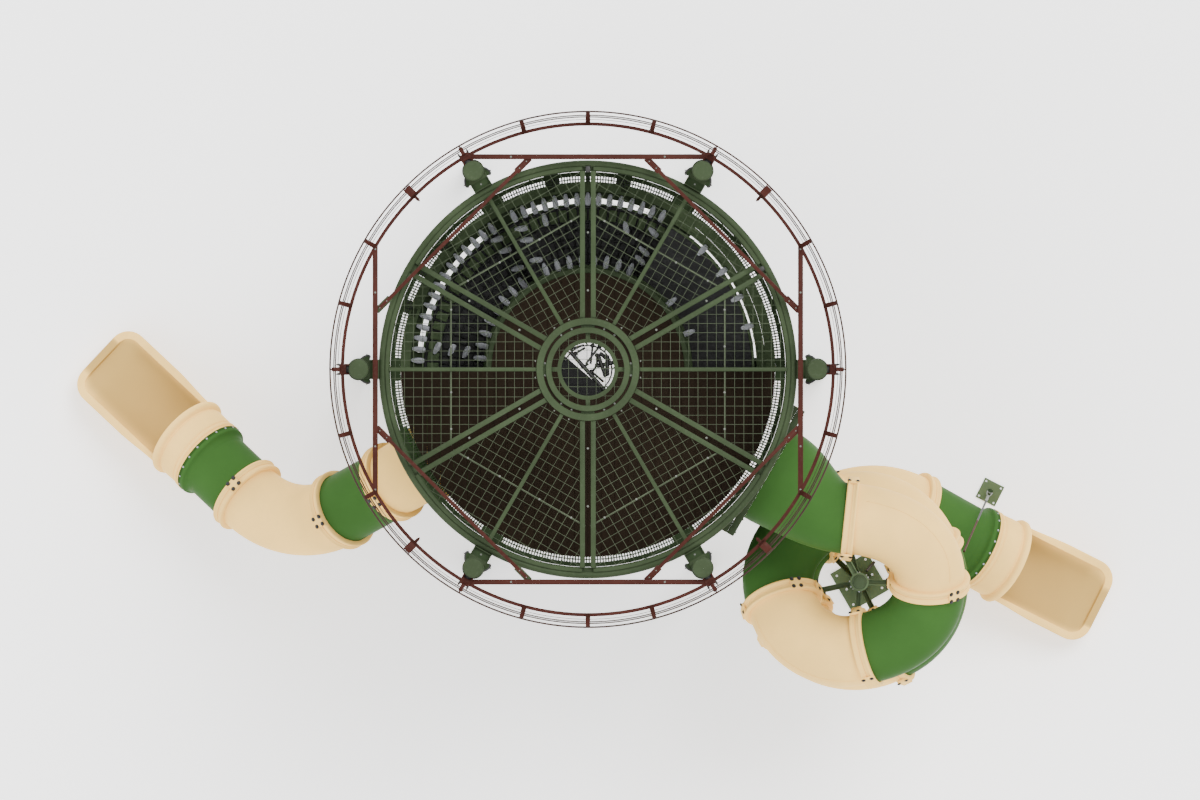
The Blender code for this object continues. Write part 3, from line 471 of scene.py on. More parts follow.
def skin(bm, loops, closed):
    """Faces between loops of vertices: a closed run, or an open one with its ends capped."""
    for here, there in zip(loops, loops[1:] + loops[:1] if closed else loops[1:]):
        for index in range(len(here)):
            after = (index + 1) % len(here)
            bm.faces.new((here[index], here[after], there[after], there[index]))
    if not closed:
        bm.faces.new(loops[0][::-1])
        bm.faces.new(loops[-1])


def turned(bm, profile, steps, span=FULL, at=(0, 0, 0)):
    """A closed section of radius and height, turned round an upright axis."""
    first, spread = span[0], span[1] - span[0]
    whole = spread > 359.9
    skin(bm, [[bm.verts.new(Vector(at) + polar(radius, first + spread * index / steps, z))
               for radius, z in profile] for index in range(steps if whole else steps + 1)], whole)


def band(bm, inner, outer, bottom, top, span=FULL, steps=48):
    """A flat ring, or a part of one."""
    turned(bm, [(inner, bottom), (outer, bottom), (outer, top), (inner, top)], steps, span)


def hoop(bm, radius, z, thickness, sides, steps=192, span=FULL, at=(0, 0, 0)):
    """A round bar bent round an upright axis."""
    angles = [math.tau * index / sides for index in range(sides)]
    turned(bm, [(radius + thickness * math.cos(a), z + thickness * math.sin(a)) for a in angles],
           steps, span, at)


def loft(bm, rings, sides, hollow=True):
    """A skin through rings of centre, direction and radius."""
    loops = []
    for centre, towards, radius in rings:
        loops.append([bm.verts.new(centre + round_about(towards, 90.0 - 360.0 * index / sides)
                                   * radius) for index in range(sides)])
    skin(bm, loops, hollow)


def round_about(towards, degrees):
    """The way out from a tube's axis, from its top round towards the right of its fall."""
    across = towards.cross(UP).normalized()
    angle = math.radians(degrees)
    return across.cross(towards) * math.cos(angle) + across * math.sin(angle)


def outline_plate(bm, outline, bottom, top):
    """A flat outline with a thickness."""
    skin(bm, [[bm.verts.new((p.x, p.y, z)) for p in outline] for z in (bottom, top)], False)


def mesh_of(name, bm):
    bmesh.ops.recalc_face_normals(bm, faces=bm.faces)
    mesh = bpy.data.meshes.new(name)
    bm.to_mesh(mesh)
    bm.free()
    return mesh


def in_scene(name, mesh):
    obj = bpy.data.objects.new(name, mesh)
    bpy.context.scene.collection.objects.link(obj)
    return obj


def evaluated(obj, *helpers):
    """The plain mesh that an object's modifiers make; the object and its helpers go."""
    bpy.context.view_layer.update()
    graph = bpy.context.evaluated_depsgraph_get()
    made = bpy.data.meshes.new_from_object(obj.evaluated_get(graph))
    obj.modifiers.clear()
    for spent in (obj, *helpers):
        bpy.data.objects.remove(spent, do_unlink=True)
    return made


def settle(name, mesh, finish, nodes=(), sharp=35.0):
    """Make a finished piece of a mesh, hang it on the tower and hide what it stands for."""
    mesh.name = name
    mesh.transform(Matrix.Translation(AXIS))
    mesh.materials.clear()
    mesh.materials.append(FINISHES[finish])
    mesh.polygons.foreach_set("use_smooth", [True] * len(mesh.polygons))
    mesh.set_sharp_from_angle(angle=math.radians(sharp))
    piece = in_scene(name, mesh)
    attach(piece, "root")
    if nodes:
        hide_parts(*nodes)


def from_bmesh(name, bm, finish, nodes=(), sharp=35.0):
    settle(name, mesh_of(name, bm), finish, nodes, sharp)


def carved(name, body_bm, cutter_bm, finish, nodes=()):
    """A piece with the cutter's solids taken out of it."""
    body = in_scene(name + "_whole", mesh_of(name + "_whole", body_bm))
    cutter = in_scene(name + "_space", mesh_of(name + "_space", cutter_bm))
    modifier = body.modifiers.new("Opening", "BOOLEAN")
    modifier.operation = "DIFFERENCE"
    modifier.solver = "EXACT"
    modifier.object = cutter
    settle(name, evaluated(body, cutter), finish, nodes=nodes)


# Geometry node trees

def new_tree(name, sockets, kinds, links):
    """A node tree that ends by realizing what it made and giving it its finish."""
    tree = bpy.data.node_groups.new(name, "GeometryNodeTree")
    for label, kind in (("Geometry", "Geometry"), *sockets, ("Finish", "Material")):
        tree.interface.new_socket(label, in_out="INPUT", socket_type="NodeSocket" + kind)
    tree.interface.new_socket("Geometry", in_out="OUTPUT", socket_type="NodeSocketGeometry")
    nodes = {"given": tree.nodes.new("NodeGroupInput"), "result": tree.nodes.new("NodeGroupOutput")}
    for label, kind in (*kinds, ("real", "RealizeInstances"), ("paint", "SetMaterial")):
        nodes[label] = tree.nodes.new("GeometryNode" + kind)
    for start, output, end, entry in (*links, ("real", "Geometry", "paint", "Geometry"),
                                      ("given", "Finish", "paint", "Material"),
                                      ("paint", "Geometry", "result", "Geometry")):
        tree.links.new(nodes[start].outputs[output], nodes[end].inputs[entry])
    return tree, nodes


def wires_tree():
    """Round wires along every edge of a line drawing."""
    tree, nodes = new_tree(
        "wires_on_edges", (("Radius", "Float"), ("Sides", "Int")),
        (("curve", "MeshToCurve"), ("section", "CurvePrimitiveCircle"), ("sweep", "CurveToMesh")),
        (("given", "Geometry", "curve", "Mesh"), ("given", "Radius", "section", "Radius"),
         ("given", "Sides", "section", "Resolution"), ("curve", "Curve", "sweep", "Curve"),
         ("section", "Curve", "sweep", "Profile Curve"), ("sweep", "Mesh", "real", "Geometry")))
    nodes["sweep"].inputs["Fill Caps"].default_value = True
    return tree


def repeats_tree():
    """A copy of one fitting at each point, turned by the point's own angles."""
    tree, nodes = new_tree(
        "fittings_on_points", (("Fitting", "Object"),),
        (("fitting", "ObjectInfo"), ("turn", "InputNamedAttribute"), ("place", "InstanceOnPoints")),
        (("given", "Fitting", "fitting", "Object"), ("given", "Geometry", "place", "Points"),
         ("fitting", "Geometry", "place", "Instance"), ("place", "Instances", "real", "Geometry")))
    nodes["turn"].data_type = "FLOAT_VECTOR"
    nodes["turn"].inputs["Name"].default_value = "turn"
    tree.links.new(nodes["turn"].outputs["Attribute"], nodes["place"].inputs["Rotation"])
    return tree


TREES = {}


def run_tree(name, mesh, tree, values, *helpers):
    """Run a node tree on a mesh and return the result as a plain mesh."""
    carrier = in_scene(name + "_carrier", mesh)
    modifier = carrier.modifiers.new("Build", "NODES")
    modifier.node_group = tree
    for item in tree.interface.items_tree:
        if item.in_out == "INPUT" and item.name in values:
            modifier[item.identifier] = values[item.name]
    return evaluated(carrier, *helpers)


def wire_piece(name, lines, radius, sides, finish, nodes=()):
    """Wires along runs of points; a run may be closed by ending where it starts."""
    bm = bmesh.new()
    for line in lines:
        closed = (line[0] - line[-1]).length < 1e-6 and len(line) > 2
        verts = [bm.verts.new(point) for point in (line[:-1] if closed else line)]
        for here, there in zip(verts, verts[1:] + (verts[:1] if closed else [])):
            bm.edges.new((here, there))
    values = {"Radius": radius, "Sides": sides, "Finish": FINISHES[finish]}
    made = run_tree(name, mesh_of(name + "_lines", bm), TREES["wires"], values)
    settle(name, made, finish, nodes, 60.0)


def fitting_piece(name, fitting, placements, finish):
    """Copies of a small fitting: placements hold a point and its turns in degrees."""
    model = in_scene(name + "_fitting", mesh_of(name + "_fitting", fitting))
    points = bpy.data.meshes.new(name + "_points")
    points.from_pydata([tuple(place) for place, _ in placements], [], [])
    turns = points.attributes.new("turn", "FLOAT_VECTOR", "POINT")
    turns.data.foreach_set("vector", [math.radians(angle) for _, angles in placements
                                      for angle in angles])
    made = run_tree(name, points, TREES["repeats"], {"Fitting": model, "Finish": FINISHES[finish]},
                    model)
    settle(name, made, finish)


# Small fittings, each made standing on the origin

def bolt_fitting(radius, height):
    """A washer with a domed hexagon head on it."""
    bm = bmesh.new()
    rod(bm, (0, 0, 0), (0, 0, height * 0.25), radius, 16)
    rod(bm, (0, 0, height * 0.25), (0, 0, height * 0.8), radius * 0.68, 6)
    rod(bm, (0, 0, height * 0.8), (0, 0, height), radius * 0.6, 12, radius * 0.35)
    return bm


def clamp_fitting(length, width, height):
    """A cast rope clamp: a waisted, rounded body with its two screws."""
    bm = bmesh.new()
    profile = ((-0.5, 0.25), (-0.42, 0.42), (-0.2, 0.5), (0.05, 0.46), (0.25, 0.36), (0.42, 0.28),
               (0.5, 0.16))
    outline = [Vector((x * length, y * width, 0)) for x, y in profile]
    outline += [Vector((x * length, -y * width, 0)) for x, y in reversed(profile)]
    outline_plate(bm, outline[::-1], 0.0, height)
    edges = [edge for edge in bm.edges if abs(edge.verts[0].co.z - edge.verts[1].co.z) < 1e-6]
    bmesh.ops.bevel(bm, geom=edges, offset=height * 0.3, segments=2, affect="EDGES", profile=0.5)
    for x in (-0.22, 0.18):
        rod(bm, (x * length, 0, height), (x * length, 0, height * 1.25), width * 0.16, 8)
    return bm


# Columns

EAR = ((-0.017, 0.108), (-0.05, 0.135), (-0.09, 0.152), (-0.118, 0.150), (-0.128, 0.128))
EAR_THICKNESS = 0.018


def strap(bm, points, thickness, bottom, top):
    """An upright band that follows a run of points in plan."""
    near, far = [], []
    for index, point in enumerate(points):
        before, after = points[max(index - 1, 0)], points[min(index + 1, len(points) - 1)]
        along = (after - before).normalized()
        side = Vector((-along.y, along.x, 0)) * thickness / 2
        near.append(point + side)
        far.append(point - side)
    outline_plate(bm, near + far[::-1], bottom, top)


def smooth_run(points, steps=4):
    """More points on a smooth curve through the given ones."""
    run = []
    ends = [points[0], *points, points[-1]]
    for p0, p1, p2, p3 in zip(ends, ends[1:], ends[2:], ends[3:]):
        for step in range(steps):
            t = step / steps
            run.append(0.5 * (2 * p1 + (p2 - p0) * t + (2 * p0 - 5 * p1 + 4 * p2 - p3) * t * t
                              + (3 * p1 - p0 - 3 * p2 + p3) * t ** 3))
    return run + [points[-1]]


def build_columns(sizes):
    """Columns with a bracket, a collar and two bolted ears at each level."""
    steel, ears, webs, inside = (bmesh.new() for _ in range(4))
    bolts = []
    r, top, outer = COLUMN_RADIUS, COLUMN_TOP_Z, COLUMN_CIRCLE - 0.075
    shaft = [(0.0005, 0.0), (r, 0.0), (r, top - 0.016), (r - 0.003, top - 0.007),
             (r - 0.010, top - 0.001), (r - 0.02, top), (0.0005, top)]
    for turn in BAY_TURNS:
        foot = polar(COLUMN_CIRCLE, turn)
        turned(steel, shaft, 48, at=foot)
        for z, inner in BRACKETS:
            middle = (inner + outer) / 2
            lid = inner + 0.095 if z == ROOF_Z else inner
            for start, rise in ((lid, 0.068), (inner, -0.074)):
                block(steel, (outer - start, 0.190, 0.012),
                      polar((start + outer) / 2, turn, z + rise), turn)
            block(steel, (0.012, 0.212, 0.16), polar(inner + 0.0065, turn, z), turn, 0.003)
            turned(steel, [(r, z - 0.09), (r + 0.010, z - 0.088), (r + 0.012, z - 0.085),
                           (r + 0.012, z + 0.085), (r + 0.010, z + 0.088), (r, z + 0.09)], 48,
                   at=foot)
            if z == ROOF_Z:
                block(inside, (0.090, 0.186, 0.010), polar(inner + 0.055, turn, z + 0.035), turn)
                bolts.append((polar(inner + 0.055, turn, z + 0.040), (0, 0, turn)))
            for side in BOTH:
                block(steel, (outer - inner, 0.012, 0.16), beside(middle, turn, side * 0.100, z),
                      turn, 0.003)
                run = [beside(COLUMN_CIRCLE + radial, turn, side * out) for radial, out in EAR]
                strap(ears, smooth_run(run), EAR_THICKNESS, z - 0.06, z + 0.06)
                run += [beside(COLUMN_CIRCLE + radial, turn, side * 0.088)
                        for radial in (-0.118, -0.02)]
                outline_plate(webs, run, z + 0.040, z + 0.050)
                for lift in (-0.035, 0.035):
                    bolts.append((beside(COLUMN_CIRCLE - 0.09, turn, side * 0.160, z + lift),
                                  aimed(polar(side, turn + 90.0))))
    from_bmesh("columns", steel, "steel", nodes=[f"column_{index + 1}" for index in range(BAYS)])
    from_bmesh("column_ears", ears, "black")
    from_bmesh("column_ear_webs", webs, "dark_steel")
    from_bmesh("bracket_insides", inside, "dark_steel")
    fitting_piece("column_bracket_bolts", bolt_fitting(0.011, 0.012), bolts, "bolt")


# Drum

RIB_PITCH = 7.5
BAND_LEVELS = (WALL_BOTTOM_Z + 0.03, LOWER_DECK_Z + 1.1, UPPER_DECK_Z - 0.06, UPPER_DECK_Z + 1.1,
               WALL_TOP_Z - 0.03)
UPPER_PORT = (polar(1.5, UPPER_MOUTH_TURN, UPPER_DECK_Z + 0.546), UPPER_MOUTH_TURN, 0.55)
LOWER_PORT = (Vector(LOWER_JOINTS[0][:3]), LOWER_MOUTH_TURN, 0.57)
PORT_WALLS = {3: LOWER_PORT, 5: UPPER_PORT}


def port_cutter(port, length, sides):
    """A round rod that cuts a slide's opening."""
    cutter = bmesh.new()
    middle, towards, radius = port
    rod(cutter, middle, middle + polar(length, towards), radius, sides)
    return cutter


def build_drum(sizes):
    """Perforated walls, two of them open for the slides, and the ribs and bands outside."""
    spans = [(turn + WALL_EDGE, turn + 60.0 - WALL_EDGE) for turn in BAY_TURNS]
    walls = bmesh.new()
    ports = {index: bmesh.new() for index in PORT_WALLS}
    for index, span in enumerate(spans):
        band(ports.get(index, walls), WALL_INNER, WALL_OUTER, WALL_BOTTOM_Z, WALL_TOP_Z, span, 24)
    from_bmesh("drum_walls", walls, "perforated", nodes=["wall_1", "wall_2", "wall_3", "wall_5"])
    for index, wall in ports.items():
        node = f"wall_{index + 1}"
        carved(node + "_sheet", wall, port_cutter(PORT_WALLS[index], 1.6, 64), "perforated", [node])
    ribs = bmesh.new()
    for turn in BAY_TURNS:
        for step in range(1, 8):
            angle = turn + step * RIB_PITCH
            for low, high in rib_spans(angle, WALL_BOTTOM_Z + 0.01, WALL_TOP_Z - 0.01):
                block(ribs, (0.012, 0.03, high - low),
                      polar(WALL_OUTER + 0.007, angle, (high + low) / 2), angle, 0.003)
    for z in BAND_LEVELS:
        for span in spans:
            for part in band_spans(*span, z):
                band(ribs, WALL_OUTER + 0.001, WALL_OUTER + 0.018, z - 0.02, z + 0.02, part, 16)
    from_bmesh("drum_ribs", ribs, "steel")


def rib_spans(angle, low, high):
    """Ribs leave room for the two slides' openings."""
    if 309.0 < angle < 351.0:
        return [(low, UPPER_DECK_Z - 0.14), (UPPER_DECK_Z + 1.38, high)]
    if 191.0 < angle < 229.0:
        return [(LOWER_DECK_Z + 1.12, high)]
    return [(low, high)]


def band_spans(first, last, z):
    """A band round the drum stops beside a slide's opening at its height."""
    if first > 290.0 and UPPER_DECK_Z - 0.15 < z < UPPER_DECK_Z + 1.4:
        return [(first, 309.0), (351.0, last)]
    if 170.0 < first < 200.0 and LOWER_DECK_Z - 0.15 < z < LOWER_DECK_Z + 1.0:
        return [(first, 192.0), (228.0, last)]
    return [(first, last)]


def build_ring_beams(sizes):
    """A channel outside, and inside it an open grating that light falls through."""
    solid, slat = bmesh.new(), bmesh.new()
    bars = []
    steps = round(math.tau * 2.073 / sizes.grating_pitch)
    closed = 3.5  # degrees to each side of a column that have a plate for a grating
    for z in (LOWER_DECK_Z, UPPER_DECK_Z):
        band(solid, 2.1053, 2.1533, z - 0.08, z, steps=144)
        band(solid, 2.0403, 2.0463, z - 0.03, z, steps=144)
        hoop(solid, 2.073, z - 0.006, 0.006, 8, 144)
        for turn in BAY_TURNS:
            band(solid, 2.046, 2.106, z - 0.006, z, (turn - closed, turn + closed), 12)
        for step in range(steps):
            angle = step * 360.0 / steps
            if (angle + closed) % 60.0 >= 2 * closed:
                bars.append((polar(2.076, angle, z - 0.008), (0, 0, angle)))
    from_bmesh("ring_beams", solid, "dark_steel", nodes=["lower_ring_beam", "upper_ring_beam"])
    block(slat, (0.062, 0.0135, 0.012), (0, 0, 0))
    fitting_piece("edge_grating", slat, bars, "steel")


def build_decks(sizes):
    """Boards side by side, cut round the drum and the rope tube."""
    bm = bmesh.new()
    step, gap, limit = sizes.board_width, sizes.board_gap / 2, DECK_RADIUS - 0.002
    boards = math.ceil(DECK_RADIUS / step)
    for z, offset in ((LOWER_DECK_Z, step / 2), (UPPER_DECK_Z, 0.0)):
        for index in range(-boards - 1, boards):
            left = max(index * step + offset + gap, -limit)
            right = min((index + 1) * step + offset - gap, limit)
            if right - left >= 0.01:
                for outline in board_outlines(left, right):
                    outline_plate(bm, outline, z - 0.06, z)
    from_bmesh("deck_boards", bm, "boards", ["lower_deck", "upper_deck"], 30.0)
    rim = bmesh.new()
    span = (0.5, 179.5)
    inner, outer, top = 1.0503, 1.1123, UPPER_DECK_Z + 0.02
    turned(rim, [(inner, top - 0.08), (outer, top - 0.08), (outer, top - 0.012),
                 (outer - 0.012, top), (inner + 0.008, top), (inner, top - 0.008)], 96, span)
    for z in (LOWER_DECK_Z, UPPER_DECK_Z):
        band(rim, 1.02, 1.10, z - 0.074, z - 0.062, span, 64)
    from_bmesh("core_edge", rim, "steel", nodes=["core_rim"])


def board_outlines(left, right):
    """One board: whole, in two parts, or with a bite taken out by the rope tube's hole."""
    def across(radius, side):
        xs = [left + (right - left) * share / 4 for share in range(5)]
        return [Vector((x, side * math.sqrt(max(radius ** 2 - x * x, 0.0)), 0)) for x in xs]
    low, high = across(DECK_RADIUS, -1), across(CORE_RADIUS, 1)[::-1]
    near, far = sorted((abs(left), abs(right)))
    if far < DECK_HOLE:
        return [low + across(DECK_HOLE, -1)[::-1], across(DECK_HOLE, 1) + high]
    if near >= DECK_HOLE:
        return [low + high]
    spreads = [math.acos(near / DECK_HOLE) * math.sin(math.pi * (share / 8 - 0.5))
               for share in range(9)]
    bite = [Vector((math.copysign(DECK_HOLE * math.cos(a), left), DECK_HOLE * math.sin(a), 0))
            for a in spreads]
    return [low + high + bite[::-1]] if left > 0 else [low + bite + high]


# Roof

def build_roof_rim(sizes):
    bm = bmesh.new()
    hoop(bm, 2.24, ROOF_Z, 0.04, 24)
    band(bm, 2.156, 2.215, ROOF_Z - 0.03, ROOF_Z, steps=192)
    from_bmesh("roof_rim_tube", bm, "steel", nodes=["roof_rim"])


def build_hub(sizes):
    """A channelled ring, a smaller ring inside it on four spokes, and the roof's bolts."""
    bm, slots = bmesh.new(), bmesh.new()
    low = ROOF_Z + 0.0003
    top = low + 0.08
    turned(bm, [(0.396, low), (0.562, low), (0.562, top - 0.004), (0.558, top), (0.492, top),
                (0.488, top - 0.004), (0.488, top - 0.04), (0.458, top - 0.04),
                (0.458, top - 0.004), (0.454, top), (0.400, top), (0.396, top - 0.004)], 96)
    band(bm, 0.288, 0.333, low - 0.03, low + 0.02, steps=96)
    for turn in QUARTERS:
        bar(bm, polar(0.315, turn, low + 0.01), polar(0.41, turn, low + 0.01), 0.05, 0.018, 0.003)
        band(slots, 0.461, 0.485, top - 0.0395, top - 0.0375, (turn + 9.0, turn + 81.0), 16)
    from_bmesh("roof_hub_rings", bm, "steel", nodes=["roof_hub"])
    from_bmesh("roof_hub_slots", slots, "boards")
    bolts = []
    for turn in BAY_TURNS:
        bolts += [(polar(0.473, turn + lean, top - 0.04), (0, 0, turn + lean)) for lean in (8, 52)]
        bolts += [(polar(0.575, turn + lean, top - 0.03), (0, 90, turn + lean)) for lean in (-9, 9)]
        bolts += [(polar(radius, turn + 30, ROOF_Z + 0.045), (0, 0, turn + 30))
                  for radius in (0.861, 1.493)]
        bolts += [(beside(1.49, turn, offset, ROOF_Z + 0.038), (0, 0, turn))
                  for offset in (-0.65, -0.25, 0.25, 0.65)]
    fitting_piece("roof_bolts", bolt_fitting(0.012, 0.014), bolts, "bolt")


def build_sectors(sizes):
    """The welded frame of each bay: two edge bars, a middle bar, a chord and a rim."""
    bm = bmesh.new()
    chords = []
    tall = 0.06
    z = ROOF_Z + 0.0003 + tall / 2
    rim = [(2.166, z - 0.020), (2.197, z - 0.020), (2.199, z - 0.001), (2.212, z + 0.003),
           (2.212, z + 0.012), (2.206, z + 0.018), (2.174, z + 0.018), (2.166, z + 0.010)]
    reach = 1.49 * math.tan(math.radians(30.0)) - 0.03
    for turn in BAY_TURNS:
        bar(bm, polar(0.562, turn, z), polar(2.170, turn, z), 0.044, tall, 0.006)
        for side in BOTH:
            ends = [beside(radius, turn + side * 30.0, -side * 0.059, z)
                    for radius in (0.560, 2.165)]
            bar(bm, *ends, 0.056, tall, 0.006)
        chords.append([beside(1.49, turn, side * reach, z) for side in BOTH])
        turned(bm, rim, 24, (turn - 28.4, turn + 28.4))
    from_bmesh("roof_frames", bm, "steel", nodes=[f"roof_sector_{n + 1}" for n in range(BAYS)])
    wire_piece("roof_chords", chords, 0.006, 8, "wire")


def build_roof_mesh(sizes):
    """Square mesh in each frame, lined up with that frame's middle bar, and in the hub's eye."""
    pitch = sizes.mesh_pitch
    inner, outer, edge, eye = 0.55, 2.175, 0.065, 0.40
    slope, lean = math.tan(math.radians(30.0)), math.cos(math.radians(30.0))
    steps = int(outer / pitch)
    spokes, cross = [], []
    for step in range(-steps, steps + 1):
        y = step * pitch
        if step and abs(y) < outer * 0.5:
            start = max(math.sqrt(max(inner ** 2 - y * y, 0.0)), (abs(y) + edge / lean) / slope)
            end = math.sqrt(outer ** 2 - y * y)
            if end - start > 0.02:
                spokes.append((start, end, y))
    for step in range(int(inner * lean / pitch), steps + 1):
        x = step * pitch
        reach = min(x * slope - edge / lean, math.sqrt(max(outer ** 2 - x * x, 0.0)))
        low = math.sqrt(max(inner ** 2 - x * x, 0.0))
        if reach - low >= 0.01:
            cross += [(x, low, reach), (x, -reach, -low)] if low else [(x, -reach, reach)]
    lines = []
    for bay in BAY_TURNS:
        turn = Matrix.Rotation(math.radians(bay), 3, "Z")
        for start, end, y in spokes:
            lines.append([turn @ Vector((x, y, ROOF_Z + 0.024)) for x in (start, end)])
        for x, first, last in cross:
            lines.append([turn @ Vector((x, y, ROOF_Z + 0.030)) for y in (first, last)])
    for step in range(-3, 4):
        for shift, rise, swap in ((0.010, 0.012, False), (-0.010, 0.018, True)):
            offset = step * pitch + shift
            half = math.sqrt(eye ** 2 - offset * offset)
            ends = [(offset, end) if swap else (end, offset) for end in (-half, half)]
            lines.append([Vector((*end, ROOF_Z + rise)) for end in ends])
    wire_piece("roof_mesh", lines, sizes.mesh_wire, 6, "wire")


# Frame over the roof

RING_RISE = 0.0099
RING_POSTS = {  # bars of each kind of post: from radius and rise, to radius and rise, its section
    "broad": ((2.672, RING_RISE, 2.700, 0.240, 0.088, 0.012, 0.003),
              (2.690, 0.246, 2.800, 0.252, 0.088, 0.014, 0.003),
              (2.625, RING_RISE, 2.680, RING_RISE, 0.034, 0.014, 0.002)),
    "leaning": ((2.667, RING_RISE, 2.738, 0.245, 0.052, 0.010, 0.002),
                (2.736, 0.240, 2.812, 0.334, 0.048, 0.010, 0.002)),
    "upright": ((2.706, RING_RISE, 2.716, 0.246, 0.044, 0.012, 0.003),
                (2.706, 0.246, 2.792, 0.250, 0.044, 0.014, 0.003),
                (2.788, 0.250, 2.808, 0.336, 0.016, 0.010, 0.002)),
}


def build_guide_ring(sizes):
    """Ring with its leaning posts, which reach over the rails, and a lug at each column."""
    bm, dark, rails, thin = (bmesh.new() for _ in range(4))
    bolts = []
    base = FRAME_Z + RING_RISE
    band(bm, 2.656, 2.694, FRAME_Z, base + RING_RISE, steps=192)
    for index in range(24):
        turn = index * 15.0
        kind = "broad" if index % 6 == 3 else "leaning" if index % 4 else "upright"
        for start, low, end, high, *section in RING_POSTS[kind]:
            bar(bm, polar(start, turn, FRAME_Z + low), polar(end, turn, FRAME_Z + high), *section)
        if kind == "broad":
            rod(bm, polar(2.625, turn, base), polar(2.592, turn, base), 0.020, 8, 0.006)
        if kind == "upright":
            block(bm, (0.078, 0.112, 0.010), polar(2.674, turn, base + 0.016), turn, 0.002)
            # The lower plate under the node is a rust plate painted black: painted shade beneath
            # the top plate.
            block(dark, (0.048, 0.080, 0.010), polar(2.616, turn, base - 0.030), turn, 0.002)
            for side in BOTH:
                block(bm, (0.112, 0.020, 0.050), beside(2.656, turn, side * 0.050, base - 0.012),
                      turn, 0.003)
                rod(dark, beside(2.700, turn, side * 0.050, base + 0.010),
                    beside(2.742, turn, side * 0.053, base + 0.016), 0.014, 8, 0.007)
                bolts.append((beside(2.671, turn, side * 0.030, base + 0.021), (0, 0, turn)))
    from_bmesh("guide_ring_welded", bm, "rust", ["guide_ring"])
    from_bmesh("guide_ring_lugs", dark, "black")
    fitting_piece("guide_ring_bolts", bolt_fitting(0.009, 0.008), bolts, "rust")
    for radius, rise, thickness in ((2.752, 0.22, 0.0065), (2.770, 0.22, 0.0065),
                                    (2.724, 0.12, 0.003)):
        hoop(rails, radius, FRAME_Z + rise, thickness, 6)
    from_bmesh("guide_rails", rails, "rail")
    hoop(thin, 2.811, FRAME_Z + 0.336, 0.0095, 8)
    from_bmesh("guide_top_wire", thin, "rail")


def build_roof_bars(sizes):
    """Four side bars and four diagonals, which end in sleeves on the side bars."""
    rust, green = bmesh.new(), bmesh.new()
    bolts = []
    reach, face, width, z = 2.938, 2.2977, 0.040, FRAME_Z - 0.0178
    for turn in QUARTERS:
        ends = [beside(2.318, turn, side * 1.352, FRAME_Z) for side in BOTH]
        bar(rust, *ends, 0.057, 0.040, 0.004)
        for share in (0.015, 0.19, 0.81, 0.985):
            bolts.append((ends[0].lerp(ends[1], share) + UP * 0.020, (0, 0, turn)))
    for turn in QUARTERS:
        swing = Matrix.Rotation(math.radians(turn), 3, "Z")
        ends = [swing @ Vector((face, reach - face, z)), swing @ Vector((reach - face, face, z))]
        towards = (ends[1] - ends[0]).normalized()
        bar(rust, ends[0] + towards * 0.03, ends[1] - towards * 0.03, width, width, 0.004)
        for index, (end, away) in enumerate(zip(ends, (towards, -towards))):
            start, finish = end - away * 0.010, end + away * 0.200
            bar(green if (turn, index) in ((90, 1), (180, 1)) else rust, start, finish, 0.070,
                0.034, 0.006)
            for share in (0.25, 0.75):
                bolts.append((start.lerp(finish, share) + UP * 0.017, (0, 0, turn)))
    nodes = ["side_bar_" + side for side in ("east", "north", "west", "south")]
    nodes += ["diagonal_bar_" + side for side in ("ne", "nw", "sw", "se")]
    from_bmesh("roof_bars", rust, "rust", nodes)
    from_bmesh("roof_bar_sleeves", green, "steel")
    fitting_piece("roof_bar_bolts", bolt_fitting(0.011, 0.010), bolts, "bolt")


# Nets: first and last angle, and height; side clamps and anchors as seen in the photograph

NETS = ((60.5, 119.5, 3.35), (120.5, 180.8, 2.75))
RAMP = (-0.8, 59.4, 3.95)
SIDE_CLAMPS = ((64.6, (1.32, 1.425, 1.657)), (115.4, (1.32, 1.56, 1.697)),
               (125.0, (1.343, 1.579, 1.728)), (172.0, (1.34, 1.50, 1.66)))
ANCHORS = ((30, RAMP[2], 2.118, 2.180, 0.125), (90, NETS[0][2], 2.033, 2.183, 0.165),
           (150, NETS[1][2], 2.033, 2.110, 0.150))


